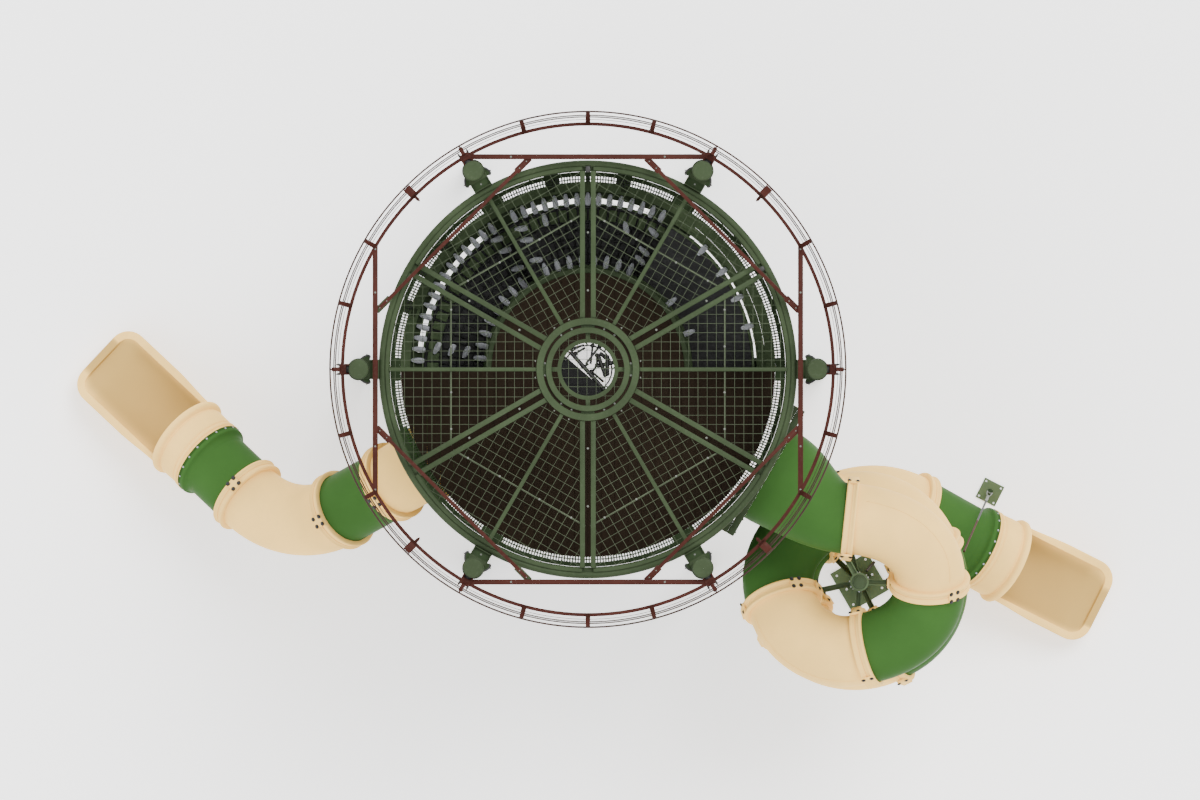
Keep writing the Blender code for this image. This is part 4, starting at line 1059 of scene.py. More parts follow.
def build_nets(sizes):
    """Two climbing nets and a ramp between the decks, with their frames, ropes and clamps."""
    rope, thick, grey, pads = [], [], [], []
    sheet, green, dark, spacers, pad = (bmesh.new() for _ in range(5))
    for first, last, z in NETS:
        span, spread = (first, last), last - first
        for bm, inner, outer, low, high in (
                (sheet, 1.115, 1.640, -0.014, -0.006), (sheet, 1.640, 1.812, -0.020, -0.012),
                (green, 1.937, 2.045, -0.010, 0.010), (dark, 1.866, 1.940, -0.020, -0.012)):
            band(bm, inner, outer, z + low, z + high, span)
        hoop(green, 1.800, z, 0.010, 8, 48, span)
        hoop(green, 1.125, z, 0.018, 10, 48, span)
        for ends in ((first, first + 6.5), (last - 6.5, last)):
            band(dark, 1.808, 1.872, z - 0.034, z - 0.026, ends, 6)
        steps = round(spread / 3.0)
        for step in range(steps + 1):
            angle = first + spread * step / steps
            rope.append([polar(radius, angle, z + 0.004) for radius in (1.13, 1.625)])
        for step in range(6):
            rope.append([polar(1.17 + 0.086 * step, first + spread * k / 24, z + 0.012)
                         for k in range(25)])
        lashings = round(spread / 3.8)
        pitch = spread / lashings
        for step in range(lashings + 1):
            angle = first + pitch * step
            thick.append([polar(radius, angle, z + 0.006) for radius in (1.60, 1.82)])
            if 0 < step < lashings:
                grey.append((polar(1.856, angle, z + 0.004), (0, 0, angle)))
            if step < lashings:
                pads.append((polar(1.69, angle + pitch / 2, z + 0.004), (0, 0, angle + pitch / 2)))
                for radius, bulge, rise in ((1.612, -0.012, 0.012), (1.766, 0.010, 0.010)):
                    thick.append([polar(radius + bulge * math.sin(math.pi * k / 6),
                                        angle + pitch * k / 6, z + rise) for k in range(7)])
        clamps = round(spread / 6.6)
        for step in range(1, clamps):
            angle = first + spread * step / clamps
            grey.append((polar(1.185, angle, z + 0.018), (0, 0, angle)))
    first, last, z = RAMP
    for bm, inner, outer, low, high, steps, *spans in (
            (sheet, 1.115, 1.785, -0.006, 0.006, 48, (first, last)),
            (green, 1.870, 1.937, -0.010, 0.008, 48, (first, last)),
            (green, 1.9385, 2.045, -0.010, 0.010, 48, (first, last)),
            (dark, 1.930, 1.950, -0.024, -0.016, 8, (first, 8.0), (27.0, 33.0), (53.0, last)),
            (dark, 1.806, 1.865, -0.034, -0.026, 6, (first, 4.0), (52.5, last)),
            (dark, 1.780, 1.812, -0.022, -0.014, 48, (first, last)),
            (dark, 1.850, 1.880, -0.026, -0.018, 48, (first, last))):
        for span in spans:
            band(bm, inner, outer, z + low, z + high, span, steps)
    for radius, rise, thickness, sides in ((1.125, 0.004, 0.018, 10), (1.803, 0.0, 0.017, 8),
                                           (1.856, 0.0, 0.017, 8)):
        hoop(green, radius, z + rise, thickness, sides, 48, (first, last))
    grey += [(polar(1.80, angle, z + 0.010), (0, 0, angle + 180)) for angle in (15, 25.5, 36, 46.1)]
    grey += [(polar(1.17, angle, z + 0.018), (0, 0, angle)) for angle in (20, 39)]
    for angle, radii in SIDE_CLAMPS:
        level = NETS[1 if angle > 120.0 else 0][2]
        grey += [(polar(radius, angle, level + 0.018), (0, 0, angle + 70)) for radius in radii]
    for radius, angle, turn in ((1.60, 75, 100), (1.696, 106, 106)):
        grey.append((polar(radius, angle, NETS[0][2] + 0.018), (0, 0, turn)))
    for middle, z, inner, outer, breadth in ANCHORS:
        radius, on_edge = (inner + outer) / 2, inner < 2.1
        if on_edge:
            block(sheet, (outer - inner, 0.050, 0.012), polar(radius, middle, z - 0.002), middle)
        if outer > 2.15:
            block(spacers, (0.070, 0.050, 0.010), polar(2.182, middle, ROOF_Z + 0.046), middle,
                  0.003)
        for offset in (-10.8, 10.8):
            angle = middle + offset
            block(sheet, (outer - inner, breadth, 0.012), polar(radius, angle, z - 0.002), angle)
            thick.append([polar(inner - 0.01, angle, z), polar(outer, angle, z)])
            if on_edge:
                block(dark, (0.055, 0.085, 0.012), polar(1.995, angle + offset * 0.09, z + 0.016),
                      angle)
                hoop(sheet, 0.030, z + 0.020, 0.009, 8, 16, at=polar(2.065, angle))
            block(sheet, (0.050, 0.030, 0.024), polar(radius, angle, z + 0.020), angle, 0.005)
    from_bmesh("roof_spacers", spacers, "black")
    from_bmesh("net_backing", sheet, "membrane",
               ["climbing_net_1", "climbing_net_2", "ramp_membrane"])
    from_bmesh("net_frames", green, "steel_lightened_for_shade")
    from_bmesh("net_edge_bands", dark, "steel")
    wire_piece("net_ropes", rope, sizes.rope_radius, 6, "rope")
    wire_piece("net_edge_ropes", thick, sizes.rope_radius * 1.25, 8, "rope")
    fitting_piece("net_clamps", clamp_fitting(0.145, 0.068, 0.03), grey, "clamp")
    block(pad, (0.130, 0.088, 0.022), (0, 0, 0), 0.0, 0.010)
    fitting_piece("net_edge_plates", pad, pads, "steel_lightened_for_shade")


# Ropes across the rope tube's upper mouth, in plan from one end to the other
MOUTH_ROPES = ((0.052, 0.259, 0.029, 0.059), (0.129, 0.254, -0.023, 0.059),
               (-0.137, 0.171, -0.031, 0.236), (-0.184, 0.224, -0.042, 0.265),
               (-0.054, 0.029, 0.005, 0.059), (0.040, -0.024, 0.170, -0.136),
               (0.0995, 0.153, 0.0995, 0.047), (0.0995, 0.047, 0.052, -0.024))
MOUTH_STAYS = ((-0.190, 0.189, 0.170, -0.213), (0.111, 0.153, 0.188, -0.060),
               (0.212, 0.153, 0.212, -0.048), (0.0995, 0.035, 0.283, 0.076),
               (0.129, 0.177, 0.188, 0.135))
NET_TUBE = 0.262


def build_rope_tube(sizes):
    """A tube of upright ropes tied to hoops, with ties, a flap and ropes in its upper mouth."""
    top, low, z = UPPER_DECK_Z - 0.01, 0.45, 0.46
    lines = [[polar(NET_TUBE, turn * 22.5, z) for z in (low, top)] for turn in range(16)]
    while z < top:
        lines.append([polar(NET_TUBE, index * 15.0, z) for index in range(25)])
        z += 0.24
    for angle in range(0, 360, 45):
        lines.append([polar(NET_TUBE, angle, top - 0.06), polar(0.328, angle + 8, top - 0.02)])
    wire_piece("rope_tube", lines, sizes.rope_radius, 8, "rope", ["core_net"])
    flap, knot = bmesh.new(), bmesh.new()
    start, end = 148.7, 310.1
    outline_plate(flap, [polar(0.328, start + (end - start) * step / 30) for step in range(31)],
                  top - 0.046, top - 0.034)
    # The flap takes the rubber darkened as painted shade.
    from_bmesh("rope_tube_flap", flap, "rubber_darkened_for_shade")
    knots = []
    for name, runs, start_z, drop, spin, tied, thickness, finish in (
            ("mouth_ropes", MOUTH_ROPES, top - 0.06, 0.018, 40, 0, 1.5, "rope"),
            ("mouth_stays", MOUTH_STAYS, top - 0.03, 0.012, 55, 1, 2.75, "black")):
        lines = []
        for level, (x0, y0, x1, y1) in enumerate(runs):
            z = start_z - drop * level
            lines.append([Vector((x0, y0, z)), Vector((x1, y1, z - 0.01))])
            knots.append((Vector(((x0, y0), (x1, y1))[tied] + (z,)), (0, 0, spin * level)))
        wire_piece(name, lines, sizes.rope_radius * thickness, 8, finish)
    bmesh.ops.create_icosphere(knot, subdivisions=2, radius=0.026)
    fitting_piece("mouth_knots", knot, knots, "black")


# Slides

def heading(degrees, slope):
    level = polar(math.cos(math.radians(slope)), degrees)
    return Vector((level.x, level.y, -math.sin(math.radians(slope))))


def joint(x, y, z, degrees, slope):
    return Vector((x, y, z)), heading(degrees, slope)


def helix_joints():
    drop_each = (HELIX_TOP_Z - HELIX_BOTTOM_Z) / (len(HELIX_JOINTS) - 1)
    return [(POST_AT + polar(radius, angle, HELIX_TOP_Z - index * drop_each),
             heading(angle - 90.0 + turn, slope))
            for index, (angle, radius, turn, slope) in enumerate(HELIX_JOINTS)]


def bend(start, end, steps, fullness=1.0):
    """Places and directions along a smooth curve between two joints."""
    (p0, t0), (p1, t1) = start, end
    near, far = p0 + t0 * COLLAR_HALF, p1 - t1 * COLLAR_HALF
    reach = fullness * (far - near).length / (3.0 * math.cos(t0.angle(t1) / 4) ** 2)
    points = interpolate_bezier(near, near + t0 * reach, far - t1 * reach, far, steps + 1)
    spots = [(here, (after - before).normalized())
             for before, here, after in zip(points, points[1:], points[2:])]
    return [(near, t0), *spots, (far, t1)]


def rings_at(place, towards, profile):
    """Rings for a loft, from a section of distances along a tube and radii."""
    return [(place + towards * along, towards, radius) for along, radius in profile]


def slide_part(name, rings, finish, sides, nodes=()):
    bm = bmesh.new()
    loft(bm, rings, sides)
    from_bmesh(name, bm, finish, nodes, 50.0)


def collar_rings(place, towards):
    """The double-beaded band that covers a joint."""
    return rings_at(place, towards, COLLAR + tuple((-along, r) for along, r in reversed(COLLAR)))


def tube_piece(name, start, end, steps, finish, sides, fullness=1.0, seam=None):
    """A section of tube; the beige ones carry the collars at both their ends."""
    (p0, t0), (p1, t1) = start, end
    middle = bend(start, end, steps, fullness)
    bm = bmesh.new()
    outside = [(place, towards, TUBE_RADIUS) for place, towards in middle]
    bore = [(place, towards, BORE_RADIUS) for place, towards in reversed(middle)]
    if finish == "beige":
        rings = [(p0 - t0 * COLLAR_HALF, t0, SOCKET_RADIUS), *collar_rings(p0, t0), *outside]
        rings += collar_rings(p1, t1) + rings_at(p1, t1, (
            (COLLAR_HALF, SOCKET_RADIUS), (0.0, SOCKET_RADIUS), (0.0, BORE_RADIUS)))
        rings += bore + rings_at(p0, t0, ((0.0, BORE_RADIUS), (0.0, SOCKET_RADIUS)))
    else:
        near, far = p0 + t0 * 2 * JOINT_GAP, p1 - t1 * 2 * JOINT_GAP
        rings = [(near, t0, TUBE_RADIUS), *outside, (far, t1, TUBE_RADIUS), (far, t1, BORE_RADIUS),
                 *bore, (near, t0, BORE_RADIUS)]
    loft(bm, rings, sides)
    if seam is not None:
        loft(bm, [(place + round_about(towards, seam) * (TUBE_RADIUS + 0.001), towards, 0.006)
                  for place, towards in middle[1:-1]], 8, False)
    slot = "slide_beige" if finish == "beige" else "slide_green"
    from_bmesh(name + "_moulding", bm, finish, [name], 50.0)


def mouth_piece(name, start, end, floor, sides):
    """A flared entrance that eases from the wall's opening to the tube."""
    spots = [start, *bend(start, end, 20)[1:-1], (end[0] - end[1] * COLLAR_HALF, end[1]),
             (end[0] - end[1] * JOINT_GAP, end[1])]
    narrow = len(spots) - 2
    rise = floor + MOUTH_RADIUS * MOUTH_FLAT + JOINT_GAP - end[0].z
    outside = []
    for index, (place, towards) in enumerate(spots):
        flare = 1 - eased(index / narrow)
        radius = TUBE_RADIUS + (MOUTH_RADIUS * MOUTH_FLAT - TUBE_RADIUS) * flare
        outside.append((place + UP * rise * flare, towards, radius))
    bore = [(place, towards, radius - 0.008) for place, towards, radius in reversed(outside)]
    slide_part(name + "_moulding", outside + bore, "green", sides, [name])


def eased(value):
    value = min(1.0, max(0.0, value))
    return value * value * (3 - 2 * value)


def chute_centre(start, end, reach, length):
    """Height of the tube's centre line: straight in the bell, then levelling out."""
    (p0, t0), (p1, t1) = start, end
    falls = [t.z / math.hypot(t.x, t.y) for t in (t0, t1)]
    bell = BELL_LENGTH * math.hypot(t0.x, t0.y)
    if reach <= bell:
        return p0.z + reach * falls[0]
    s = (reach - bell) / (length - bell)
    z = (2 * s ** 3 - 3 * s ** 2 + 1) * (p0.z + bell * falls[0])
    z += (s ** 3 - 2 * s ** 2 + s) * (length - bell) * falls[0]
    z += (3 * s ** 2 - 2 * s ** 3) * p1.z
    return z + (s ** 3 - s ** 2) * (length - bell) * falls[1]


def rounded_corner(side, across, up, radius):
    """A quarter round on a rim's top, from its outer face to its top face."""
    return [(side * (across - radius + radius * math.cos(angle)),
             up - radius + radius * math.sin(angle))
            for angle in (math.pi / 8 * step for step in range(5))]


def chute_section(start, end, reach, length):
    """Closed outline, across and up, of the chute at a distance from the joint."""
    left = length - reach
    rim, edge = CHUTE_RIM
    mouth = BELL_BORE + 0.005
    half = CHUTE_NECK + (CHUTE_HALF - CHUTE_NECK) * eased((reach - BELL_LENGTH) / 0.5)
    half -= CHUTE_CORNER - math.sqrt(CHUTE_CORNER ** 2 - max(0.0, CHUTE_CORNER - left) ** 2)
    inner = CHUTE_HALF - rim
    inner += (mouth - inner) * (1 - eased((reach - CHUTE_START) / 0.3))
    corner = CHUTE_CORNER - rim
    inner -= corner - math.sqrt(corner ** 2 - min(corner, max(0.0, CHUTE_CORNER - left)) ** 2)
    inner = min(inner, half - edge * 0.5)
    start_drop = mouth * math.hypot(1.0, start[1].z / math.hypot(*start[1].xy))
    bottom = chute_centre(start, end, reach, length) - start_drop
    bottom += (start_drop - CHUTE_END_DROP) * eased((reach - BELL_LENGTH) / (length - BELL_LENGTH))
    deep = edge + 0.20 * eased((left - rim) / 0.25) + 0.15 * eased((left - rim - 0.25) / 0.6)
    top = bottom + deep
    if left < rim:
        deep = CHUTE_WALL / 2
    under = max(deep + CHUTE_WALL, edge + CHUTE_WALL) - edge
    round_edge = min(0.022, (half - inner) * 0.35, max(left, 0.004) * 0.5)
    lip = inner + min(LIP, round_edge)
    wide = min(inner + CHUTE_WALL, half - CHUTE_WALL / 2)
    angles = [math.pi * index / CHUTE_ARC for index in range(CHUTE_ARC + 1)]
    return [(-half, top - edge), *rounded_corner(-1, half, top, round_edge), (-lip, top),
            *((-inner * math.cos(a), top - max(deep * math.sin(a), 0.004)) for a in angles),
            (lip, top), *rounded_corner(1, half, top, round_edge)[::-1], (half, top - edge),
            *((wide * math.cos(a), top - edge - under * math.sin(a)) for a in angles)]


def chute_piece(name, start, end):
    """An open chute lofted through upright sections; its UV says how deep in it a face lies, and
    the beige finish darkens the deep faces as painted shade.
    """
    (p0, _), (p1, _) = start, end
    level = Vector((p1.x - p0.x, p1.y - p0.y, 0))
    length = level.length - 0.003
    ahead = level.normalized()
    across = Vector((-ahead.y, ahead.x, 0))
    reaches = [CHUTE_START + (length - CHUTE_CORNER - CHUTE_START) * index / CHUTE_STEPS
               for index in range(CHUTE_STEPS)]
    reaches += [length - CHUTE_CORNER * share for share in CHUTE_TIP]
    bm = bmesh.new()
    hollow = bm.loops.layers.uv.new("hollow")
    loops, depths = [], {}
    for reach in reaches:
        flat = Vector((p0.x, p0.y, 0)) + ahead * reach
        loops.append([bm.verts.new(flat + across * side + UP * up)
                      for side, up in chute_section(start, end, reach, length)])
        for index in range(CHUTE_ARC + 1):
            depths[loops[-1][TROUGH + index]] = math.sin(math.pi * index / CHUTE_ARC)
    skin(bm, loops, False)
    for face in bm.faces:
        if len(face.verts) == 4:
            for corner in face.loops:
                corner[hollow].uv = (depths.get(corner.vert, 0.0), 0.0)
    from_bmesh(name, bm, "beige", [], 40.0)


TROUGH = 6  # where a chute's outline turns from its rim into the trough

# Sections along the tube: distances from the joint and radii
BELL = ((0.0, 0.392), (0.0, 0.449), (0.004, 0.452), (0.010, 0.452), (0.014, 0.446), (0.022, 0.431),
        (0.030, 0.431), (0.038, 0.443), (0.048, 0.449), (0.060, 0.449), (0.070, 0.443),
        (0.076, 0.431), (0.086, 0.429), (0.094, 0.436), (0.110, 0.440))
BELL_BACK = ((COLLAR_HALF, BELL_BORE), (COLLAR_HALF, BORE_RADIUS), (0.0, BORE_RADIUS))
FLANGE = ((-0.165, 0.3875), (-0.150, 0.391), (-0.125, 0.394), (-0.105, 0.401), (-0.088, 0.414),
          (-0.076, 0.432), (-0.071, 0.440), (-0.060, 0.445), (-0.052, FLANGE_RADIUS),
          (-0.001, FLANGE_RADIUS), (-0.001, 0.3880), (-0.1645, 0.3871))
FLANGE_EDGE = ((-0.030, 0.4450), (-0.030, 0.4463), (-0.0005, 0.4463), (-0.0005, 0.4450))
SLEEVE = ((0.026, FLANGE_RADIUS), (0.026, 0.4520), (0.034, 0.4560), (0.160, 0.4560),
          (0.168, 0.4520), (0.168, FLANGE_RADIUS))


def exit_piece(name, start, end, sides):
    """A bell with its beads, the open chute, and the bolted flange before them."""
    place, towards = start
    bead, wide = BELL_BEAD
    front, back = BELL_LENGTH, BELL_LENGTH - wide
    profile = (*BELL, (back - 0.05, 0.444), (back - 0.03, 0.440), (back - 0.018, 0.430),
               (back - 0.008, 0.432), (back + 0.002, 0.455), (back + 0.012, bead - 0.010),
               (back + 0.026, bead - 0.001), (front - 0.026, bead - 0.001),
               (front - 0.010, bead - 0.012), (front, bead - 0.030), (front, BELL_BORE + 0.012),
               (front - 0.010, BELL_BORE), *BELL_BACK)
    slide_part(name + "_bell", rings_at(place, towards, profile), "beige", sides, [name])
    chute_piece(name + "_chute", start, end)
    for label, section, finish in (("_flange", FLANGE, "green"),
                                   ("_flange_edge", FLANGE_EDGE, "green_dark")):
        slide_part(name + label, rings_at(place, towards, section), finish, sides)
    outs = [round_about(towards, angle) for angle in range(-162, 181, 18)]
    spots = [(place - towards * 0.022 + out * FLANGE_RADIUS, aimed(out)) for out in outs]
    fitting_piece(name + "_flange_bolts", bolt_fitting(0.011, 0.008), spots, "clamp")


def build_upper_slide(sizes):
    """The helix: a mouth, nine bends in turn beige and green, a straight and the exit."""
    joints = helix_joints()
    sides, steps = sizes.slide_sides, sizes.bend_steps
    start = polar(2.2806, UPPER_MOUTH_TURN, HELIX_TOP_Z), heading(UPPER_MOUTH_TURN, 0.0)
    mouth_piece("upper_slide_01", start, joints[0], UPPER_DECK_Z, sides)
    for index, (here, there) in enumerate(zip(joints, joints[1:])):
        tube_piece(f"upper_slide_{index + 2:02d}", here, there, steps,
                   "green" if index % 2 else "beige", sides,
                   SNUG_BEND[1] if index == SNUG_BEND[0] else 1.0, SEAMS.get(index))
    bell = joint(*UPPER_BELL)
    tube_piece("upper_slide_11", joints[-1], bell, 2, "green", sides)
    exit_piece("upper_slide_12", bell, joint(*UPPER_END), sides)


def build_lower_slide(sizes):
    """The short slide: a mouth, beige bends, green straights and the exit."""
    joints = [joint(*values) for values in LOWER_JOINTS]
    place, towards = joints[0]
    sides, steps = sizes.slide_sides, sizes.bend_steps
    mouth_piece("lower_slide_1", (place - towards * LOWER_MOUTH_LENGTH, towards), joints[0],
                LOWER_DECK_Z, sides)
    for index in range(4):
        tube_piece(f"lower_slide_{index + 2}", joints[index], joints[index + 1],
                   2 if index % 2 else steps, "green" if index % 2 else "beige", sides)
    exit_piece("lower_slide_6", joints[4], joints[5], sides)
    slide_part("lower_slide_sleeve", rings_at(place, towards, SLEEVE), "green", sides)


# Clamps and supports of the slides. A tab is its joint and its angles from the collar's top;
# its shape is its breadth, the rows of its bolts and how far they stand to each side.

HELIX_TABS = ((0, (75, -75)), (1, (-37, 98)), (2, (75, -57)), (3, (28, 80, -80)), (4, (72, -72)),
              (5, (80,)), (6, (-75, 80)), (7, (-75, 80)), (8, (80, -72)), (9, (78,)))
LOWER_TABS = ((1, (-13,)), (2, (2,)), (3, (-2,)))
BROAD_TAB = (0.20, (0.085,), 0.0465)
NARROW_TAB = (0.128, (-0.044, 0.044), 0.044)


def build_clamps(sizes):
    """Tabs across the collars with their black bolts: broad at the sides, narrow on top."""
    tabs = bmesh.new()
    bolts = []
    lower = [joint(*values) for values in LOWER_JOINTS]
    for joints, rows in ((helix_joints(), HELIX_TABS), (lower, LOWER_TABS)):
        for index, angles in rows:
            for degrees in angles:
                bolts += add_tab(tabs, joints[index], degrees)
    from_bmesh("slide_clamp_tabs", tabs, "beige")
    fitting_piece("slide_clamp_bolts", bolt_fitting(0.024, 0.014), bolts, "black")


def add_tab(tabs, joint_at, degrees):
    """A tab on the collar and the places of its bolts; a broad one shows its upper pair."""
    place, towards = joint_at
    breadth, rows, spread = BROAD_TAB if abs(degrees) > 45.0 else NARROW_TAB
    out = round_about(towards, degrees)
    across = out.cross(towards) * (1 if degrees > 0 else -1)
    place = place + out * 0.438
    leaning_block(tabs, (0.115, breadth, 0.034), place, towards, out, 0.010)
    return [(place + out * 0.017 + towards * x + across * y, aimed(out))
            for x in (-spread, spread) for y in rows]


def foot_plate(name, foot, width, thickness, turn, bevel, hole, spots, nodes=()):
    """A square plate on the ground with round holes at a reach and an angle from its middle."""
    plate, holes = bmesh.new(), bmesh.new()
    block(plate, (width, width, thickness), foot + UP * thickness / 2, turn, bevel)
    for reach, angle in spots:
        spot = foot + polar(reach, angle)
        rod(holes, spot - UP * 0.05, spot + UP * 0.05, hole)
    carved(name, plate, holes, "steel_lightened_for_shade", nodes)


def build_post(sizes):
    """The helix's post: round tube with a domed cap, foot plate, arms and clamps."""
    steel, arms, stay = (bmesh.new() for _ in range(3))
    bolts = []
    r, top = POST_RADIUS, 5.15
    turned(steel, [(0.0005, 0.02), (r, 0.02), (r, top - 0.040), (r - 0.002, top - 0.034),
                   (0.068, top - 0.030), (0.066, top - 0.020), (0.050, top - 0.006),
                   (0.025, top - 0.001), (0.0005, top)], 48, at=POST_AT)
    for turn in QUARTERS:
        bar(steel, *(POST_AT + polar(reach, turn + 30, 0.065) for reach in (0.082, 0.150)), 0.010,
            0.09, 0.002)
    for index, (place, towards) in enumerate(helix_joints()[:9]):
        if index in ARMLESS:
            continue
        side = Vector((towards.y, -towards.x, 0)).normalized()
        tip = place + side * (COLLAR_RADIUS - 0.02)
        hub = POST_AT + UP * place.z
        out = (tip - hub).normalized()
        across = Vector((-out.y, out.x, 0))
        for share in BOTH:
            shift = across * 0.026 * share
            bar(arms, hub + out * 0.07 + shift, tip + shift, 0.012, 0.045, 0.002)
            bolts.append((hub + across * share * (r + 0.018), aimed(across * share)))
        down = UP * -0.018
        bar(arms, hub + out * 0.07 + down, tip + down, 0.050, 0.006)
        turned(arms, [(r, place.z - 0.03), (r + 0.018, place.z - 0.03),
                      (r + 0.018, place.z + 0.03), (r, place.z + 0.03)], 40, at=POST_AT)
        leaning_block(arms, (0.075, 0.10, 0.014), tip, towards, out, 0.003)
    foot_plate("slide_post_plate", POST_AT, 0.47, 0.02, 30.0, 0.004, 0.013,
               [(0.255, turn + 75) for turn in QUARTERS] + [(0.16, 30), (0.16, 210)])
    from_bmesh("slide_post_tube", steel, "steel", nodes=["slide_post"])
    from_bmesh("slide_post_arms", arms, "steel_lightened_for_shade")
    fitting_piece("slide_post_bolts", bolt_fitting(0.010, 0.012), bolts, "clamp")
    rod(stay, POST_AT + Vector((0.078, 0.120, 4.90)), POST_AT + Vector((0.162, 0.218, 4.84)), 0.016,
        12)
    from_bmesh("slide_post_stay", stay, "black")


def build_strut(sizes):
    """Small foot plate under the last bend, its stub with a fork, and the stay rod."""
    foot = Vector((4.383, -1.336, 0.0))
    foot_plate("slide_strut_plate", foot, 0.236, 0.015, -27.0, 0.003, 0.011,
               [(0.1255, turn + 18) for turn in QUARTERS], ["slide_strut"])
    fork_at = foot + Vector((-0.010, -0.022, 0.96))
    hook = Vector((4.100, -1.985, 2.82))
    up = (hook - fork_at).normalized()
    across = up.cross(UP).normalized()
    steel, fork = bmesh.new(), bmesh.new()
    rod(steel, foot + UP * 0.01, foot + UP * 0.93, 0.018, 20)
    turned(steel, [(0.017, 0.014), (0.034, 0.014), (0.026, 0.030), (0.017, 0.034)], 24, at=foot)
    from_bmesh("slide_strut_stub", steel, "dark_steel")
    for side in BOTH:
        heel, knee, tip = (fork_at + across * wide * side + up * rise
                           for wide, rise in ((0.026, -0.055), (0.024, 0.0), (0.008, 0.10)))
        bar(fork, heel, knee, 0.010, 0.020, 0.002)
        bar(fork, knee, tip, 0.010, 0.020, 0.002)
    rod(fork, fork_at - across * 0.036 - up * 0.04, fork_at + across * 0.036 - up * 0.04, 0.009, 12)
    rod(fork, fork_at + up * 0.08, fork_at + up * 0.26, 0.014, 12)
    from_bmesh("slide_stay_fork", fork, "bolt")
    change = fork_at.lerp(hook, 0.47)
    for name, first, last, finish in (("lower", fork_at + up * 0.2, change, "black"),
                                      ("upper", change, hook, "rust")):
        stay = bmesh.new()
        rod(stay, first, last, 0.011, 12)
        from_bmesh("slide_stay_" + name, stay, finish)


def build_port_panel(sizes):
    """The slab behind the helix's mouth, with stiffening bars and bolts."""
    turn = UPPER_MOUTH_TURN
    out, along = polar(1.0, turn), polar(1.0, turn + 90.0)
    middle = polar(2.2403, turn, UPPER_DECK_Z + 0.625)
    slab = bmesh.new()
    block(slab, (0.08, 1.57, 1.45), middle, turn, 0.006)
    for side in BOTH:
        block(slab, (0.068, 0.160, 1.44), middle - out * 0.0745 + along * side * 0.705, turn, 0.006)
    carved("port_panel_slab", slab, port_cutter(UPPER_PORT, 2.0, 72), "steel", ["port_panel"])
    bolts = [(middle + out * 0.04 + along * 0.735 * side + UP * rise, aimed(out))
             for side in BOTH for rise in (-0.66, -0.33, 0.0, 0.33, 0.66)]
    bolts += [(middle + along * share + UP * 0.725, (0, 0, 0))
              for share in (-0.7, -0.35, 0.0, 0.35, 0.7)]
    for step in range(16):
        angle = math.tau * (step + 0.5) / 16
        spot = UPPER_PORT[0] + out * 0.7803 + along * 0.585 * math.cos(angle)
        bolts.append((spot + UP * 0.585 * math.sin(angle), aimed(out)))
    fitting_piece("port_panel_bolts", bolt_fitting(0.013, 0.010), bolts, "steel")


# Stage

def build_stage(sizes):
    """Pale floor, white surroundings, two suns and a camera that looks straight down."""
    mesh = bpy.data.meshes.new("floor")
    mesh.from_pydata([(-40, -40, -0.002), (40, -40, -0.002), (40, 40, -0.002), (-40, 40, -0.002)],
                     [], [(0, 1, 2, 3)])
    mesh.materials.append(Shader("pale_floor").set(
        Base_Color=(0.92, 0.92, 0.92, 1), Roughness=0.9, Emission_Color=(1, 1, 1, 1),
        Emission_Strength=FLOOR_GLOW))
    in_scene("floor", mesh)
    world = bpy.data.worlds.new("studio")
    bpy.context.scene.world = world
    world.use_nodes = True
    background = world.node_tree.nodes["Background"]
    background.inputs["Color"].default_value = (1, 1, 1, 1)
    background.inputs["Strength"].default_value = 2.1
    for name, direction, energy, angle in (("key", (0.35, 0.45, 1.0), 3.3, 30.0),
                                           ("fill", (-0.6, -0.4, 0.8), 1.1, 60.0)):
        light = bpy.data.lights.new(name, "SUN")
        light.energy = energy
        light.angle = math.radians(angle)
        in_scene(name, light).rotation_euler = Vector(direction).to_track_quat("Z", "Y").to_euler()
    lens = bpy.data.cameras.new("camera")
    lens.type = "ORTHO"
    lens.ortho_scale = VIEW_WIDTH
    lens.clip_end = 100.0
    camera = in_scene("camera", lens)
    camera.location = AXIS + VIEW_MIDDLE + UP * 30.0
    bpy.context.scene.camera = camera


def finish_nodes():
    """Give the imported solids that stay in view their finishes."""
    by_slot = {"sage_green": "steel", "rust_red": "rust", "deck_brown": "boards",
               "rope_black": "membrane", "slide_green": "green", "slide_beige": "beige"}
    slots = {row["node"]: row["material_slot"] for row in frame["record"]["subparts"]}
    for name, node in frame["nodes"].items():
        node.data.materials.clear()
        node.data.materials.append(FINISHES[by_slot[slots[name]]])


# Add-on

class TowerStep:
    """One step of the build: it runs its jobs, which all take the tower's sizes."""
    bl_options = {"REGISTER", "UNDO"}
    jobs = ()

    def execute(self, context):
        for job in self.jobs:
            job(context.scene.tower_sizes)
        return {"FINISHED"}


class TOWER_OT_stage(TowerStep, bpy.types.Operator):
    """Floor, lights and the camera that looks straight down"""
    bl_idname = "tower.stage"
    bl_label = "Stage"
    jobs = (build_stage,)


class TOWER_OT_finishes(TowerStep, bpy.types.Operator):
    """Paint, plastic, rope and timber finishes, and the node trees that repeat fittings"""
    bl_idname = "tower.finishes"
    bl_label = "Finishes"

    def execute(self, context):
        make_finishes(context.scene.tower_colours)
        TREES.update(wires=wires_tree(), repeats=repeats_tree())
        finish_nodes()
        return {"FINISHED"}


class TOWER_OT_columns(TowerStep, bpy.types.Operator):
    """Columns with their brackets"""
    bl_idname = "tower.columns"
    bl_label = "Columns"
    jobs = (build_columns,)


class TOWER_OT_drum(TowerStep, bpy.types.Operator):
    """Perforated walls, their ribs and the ring beams with their gratings"""
    bl_idname = "tower.drum"
    bl_label = "Drum"
    jobs = (build_drum, build_ring_beams)


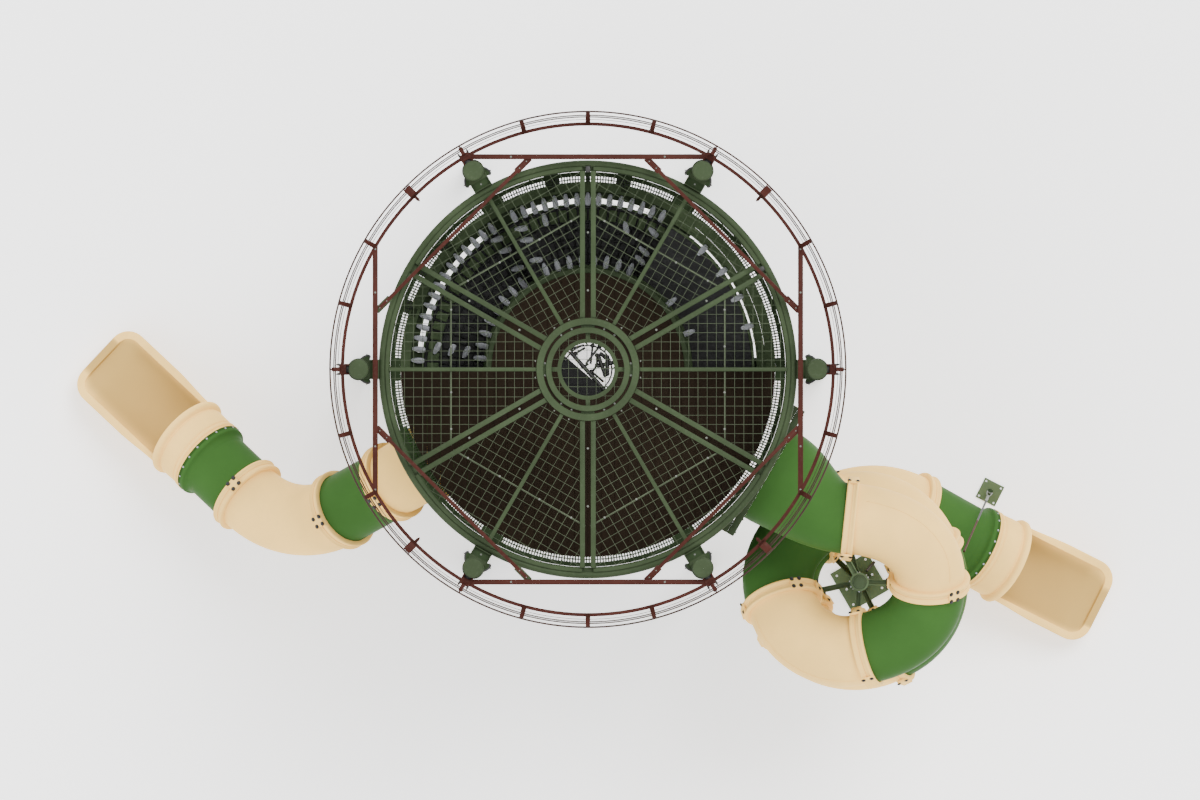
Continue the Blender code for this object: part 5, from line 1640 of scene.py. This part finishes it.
class TOWER_OT_decks(TowerStep, bpy.types.Operator):
    """Deck boards and the rim along the shafts"""
    bl_idname = "tower.decks"
    bl_label = "Decks"
    jobs = (build_decks,)


class TOWER_OT_roof(TowerStep, bpy.types.Operator):
    """Rim, hub, frames, bolts and wire mesh of the roof"""
    bl_idname = "tower.roof"
    bl_label = "Roof"
    jobs = (build_roof_rim, build_hub, build_sectors, build_roof_mesh)


class TOWER_OT_guide_ring(TowerStep, bpy.types.Operator):
    """Rust-red ring, rails and bars over the roof"""
    bl_idname = "tower.guide_ring"
    bl_label = "Guide ring"
    jobs = (build_guide_ring, build_roof_bars)


class TOWER_OT_nets(TowerStep, bpy.types.Operator):
    """Climbing nets, the ramp, their clamps and the rope tube"""
    bl_idname = "tower.nets"
    bl_label = "Nets"
    jobs = (build_nets, build_rope_tube)


class TOWER_OT_slides(TowerStep, bpy.types.Operator):
    """Both tube slides"""
    bl_idname = "tower.slides"
    bl_label = "Slides"
    jobs = (build_upper_slide, build_lower_slide)


class TOWER_OT_supports(TowerStep, bpy.types.Operator):
    """Clamps on the slides' collars, the post, the strut and the panel"""
    bl_idname = "tower.supports"
    bl_label = "Slide supports"
    jobs = (build_clamps, build_post, build_strut, build_port_panel)


STEPS = (TOWER_OT_stage, TOWER_OT_finishes, TOWER_OT_columns, TOWER_OT_drum, TOWER_OT_decks,
         TOWER_OT_roof, TOWER_OT_guide_ring, TOWER_OT_nets, TOWER_OT_slides,
         TOWER_OT_supports)


class TOWER_PT_panel(bpy.types.Panel):
    bl_label = "Playground Tower"
    bl_idname = "TOWER_PT_panel"
    bl_space_type = "VIEW_3D"
    bl_region_type = "UI"
    bl_category = "Tower"

    def draw(self, context):
        for group in (context.scene.tower_sizes, context.scene.tower_colours):
            for name in group.__annotations__:
                self.layout.prop(group, name)
        for step in STEPS:
            self.layout.operator(step.bl_idname)


CLASSES = (TowerSizes, TowerColours, *STEPS, TOWER_PT_panel)


def register():
    for cls in CLASSES:
        bpy.utils.register_class(cls)
    bpy.types.Scene.tower_sizes = PointerProperty(type=TowerSizes)
    bpy.types.Scene.tower_colours = PointerProperty(type=TowerColours)


def unregister():
    del bpy.types.Scene.tower_colours
    del bpy.types.Scene.tower_sizes
    for cls in reversed(CLASSES):
        bpy.utils.unregister_class(cls)


def main():
    register()
    bpy.ops.tower.stage()
    bpy.ops.tower.finishes()
    bpy.ops.tower.columns()
    bpy.ops.tower.drum()
    bpy.ops.tower.decks()
    bpy.ops.tower.roof()
    bpy.ops.tower.guide_ring()
    bpy.ops.tower.nets()
    bpy.ops.tower.slides()
    bpy.ops.tower.supports()


if __name__ == "__main__":
    main()
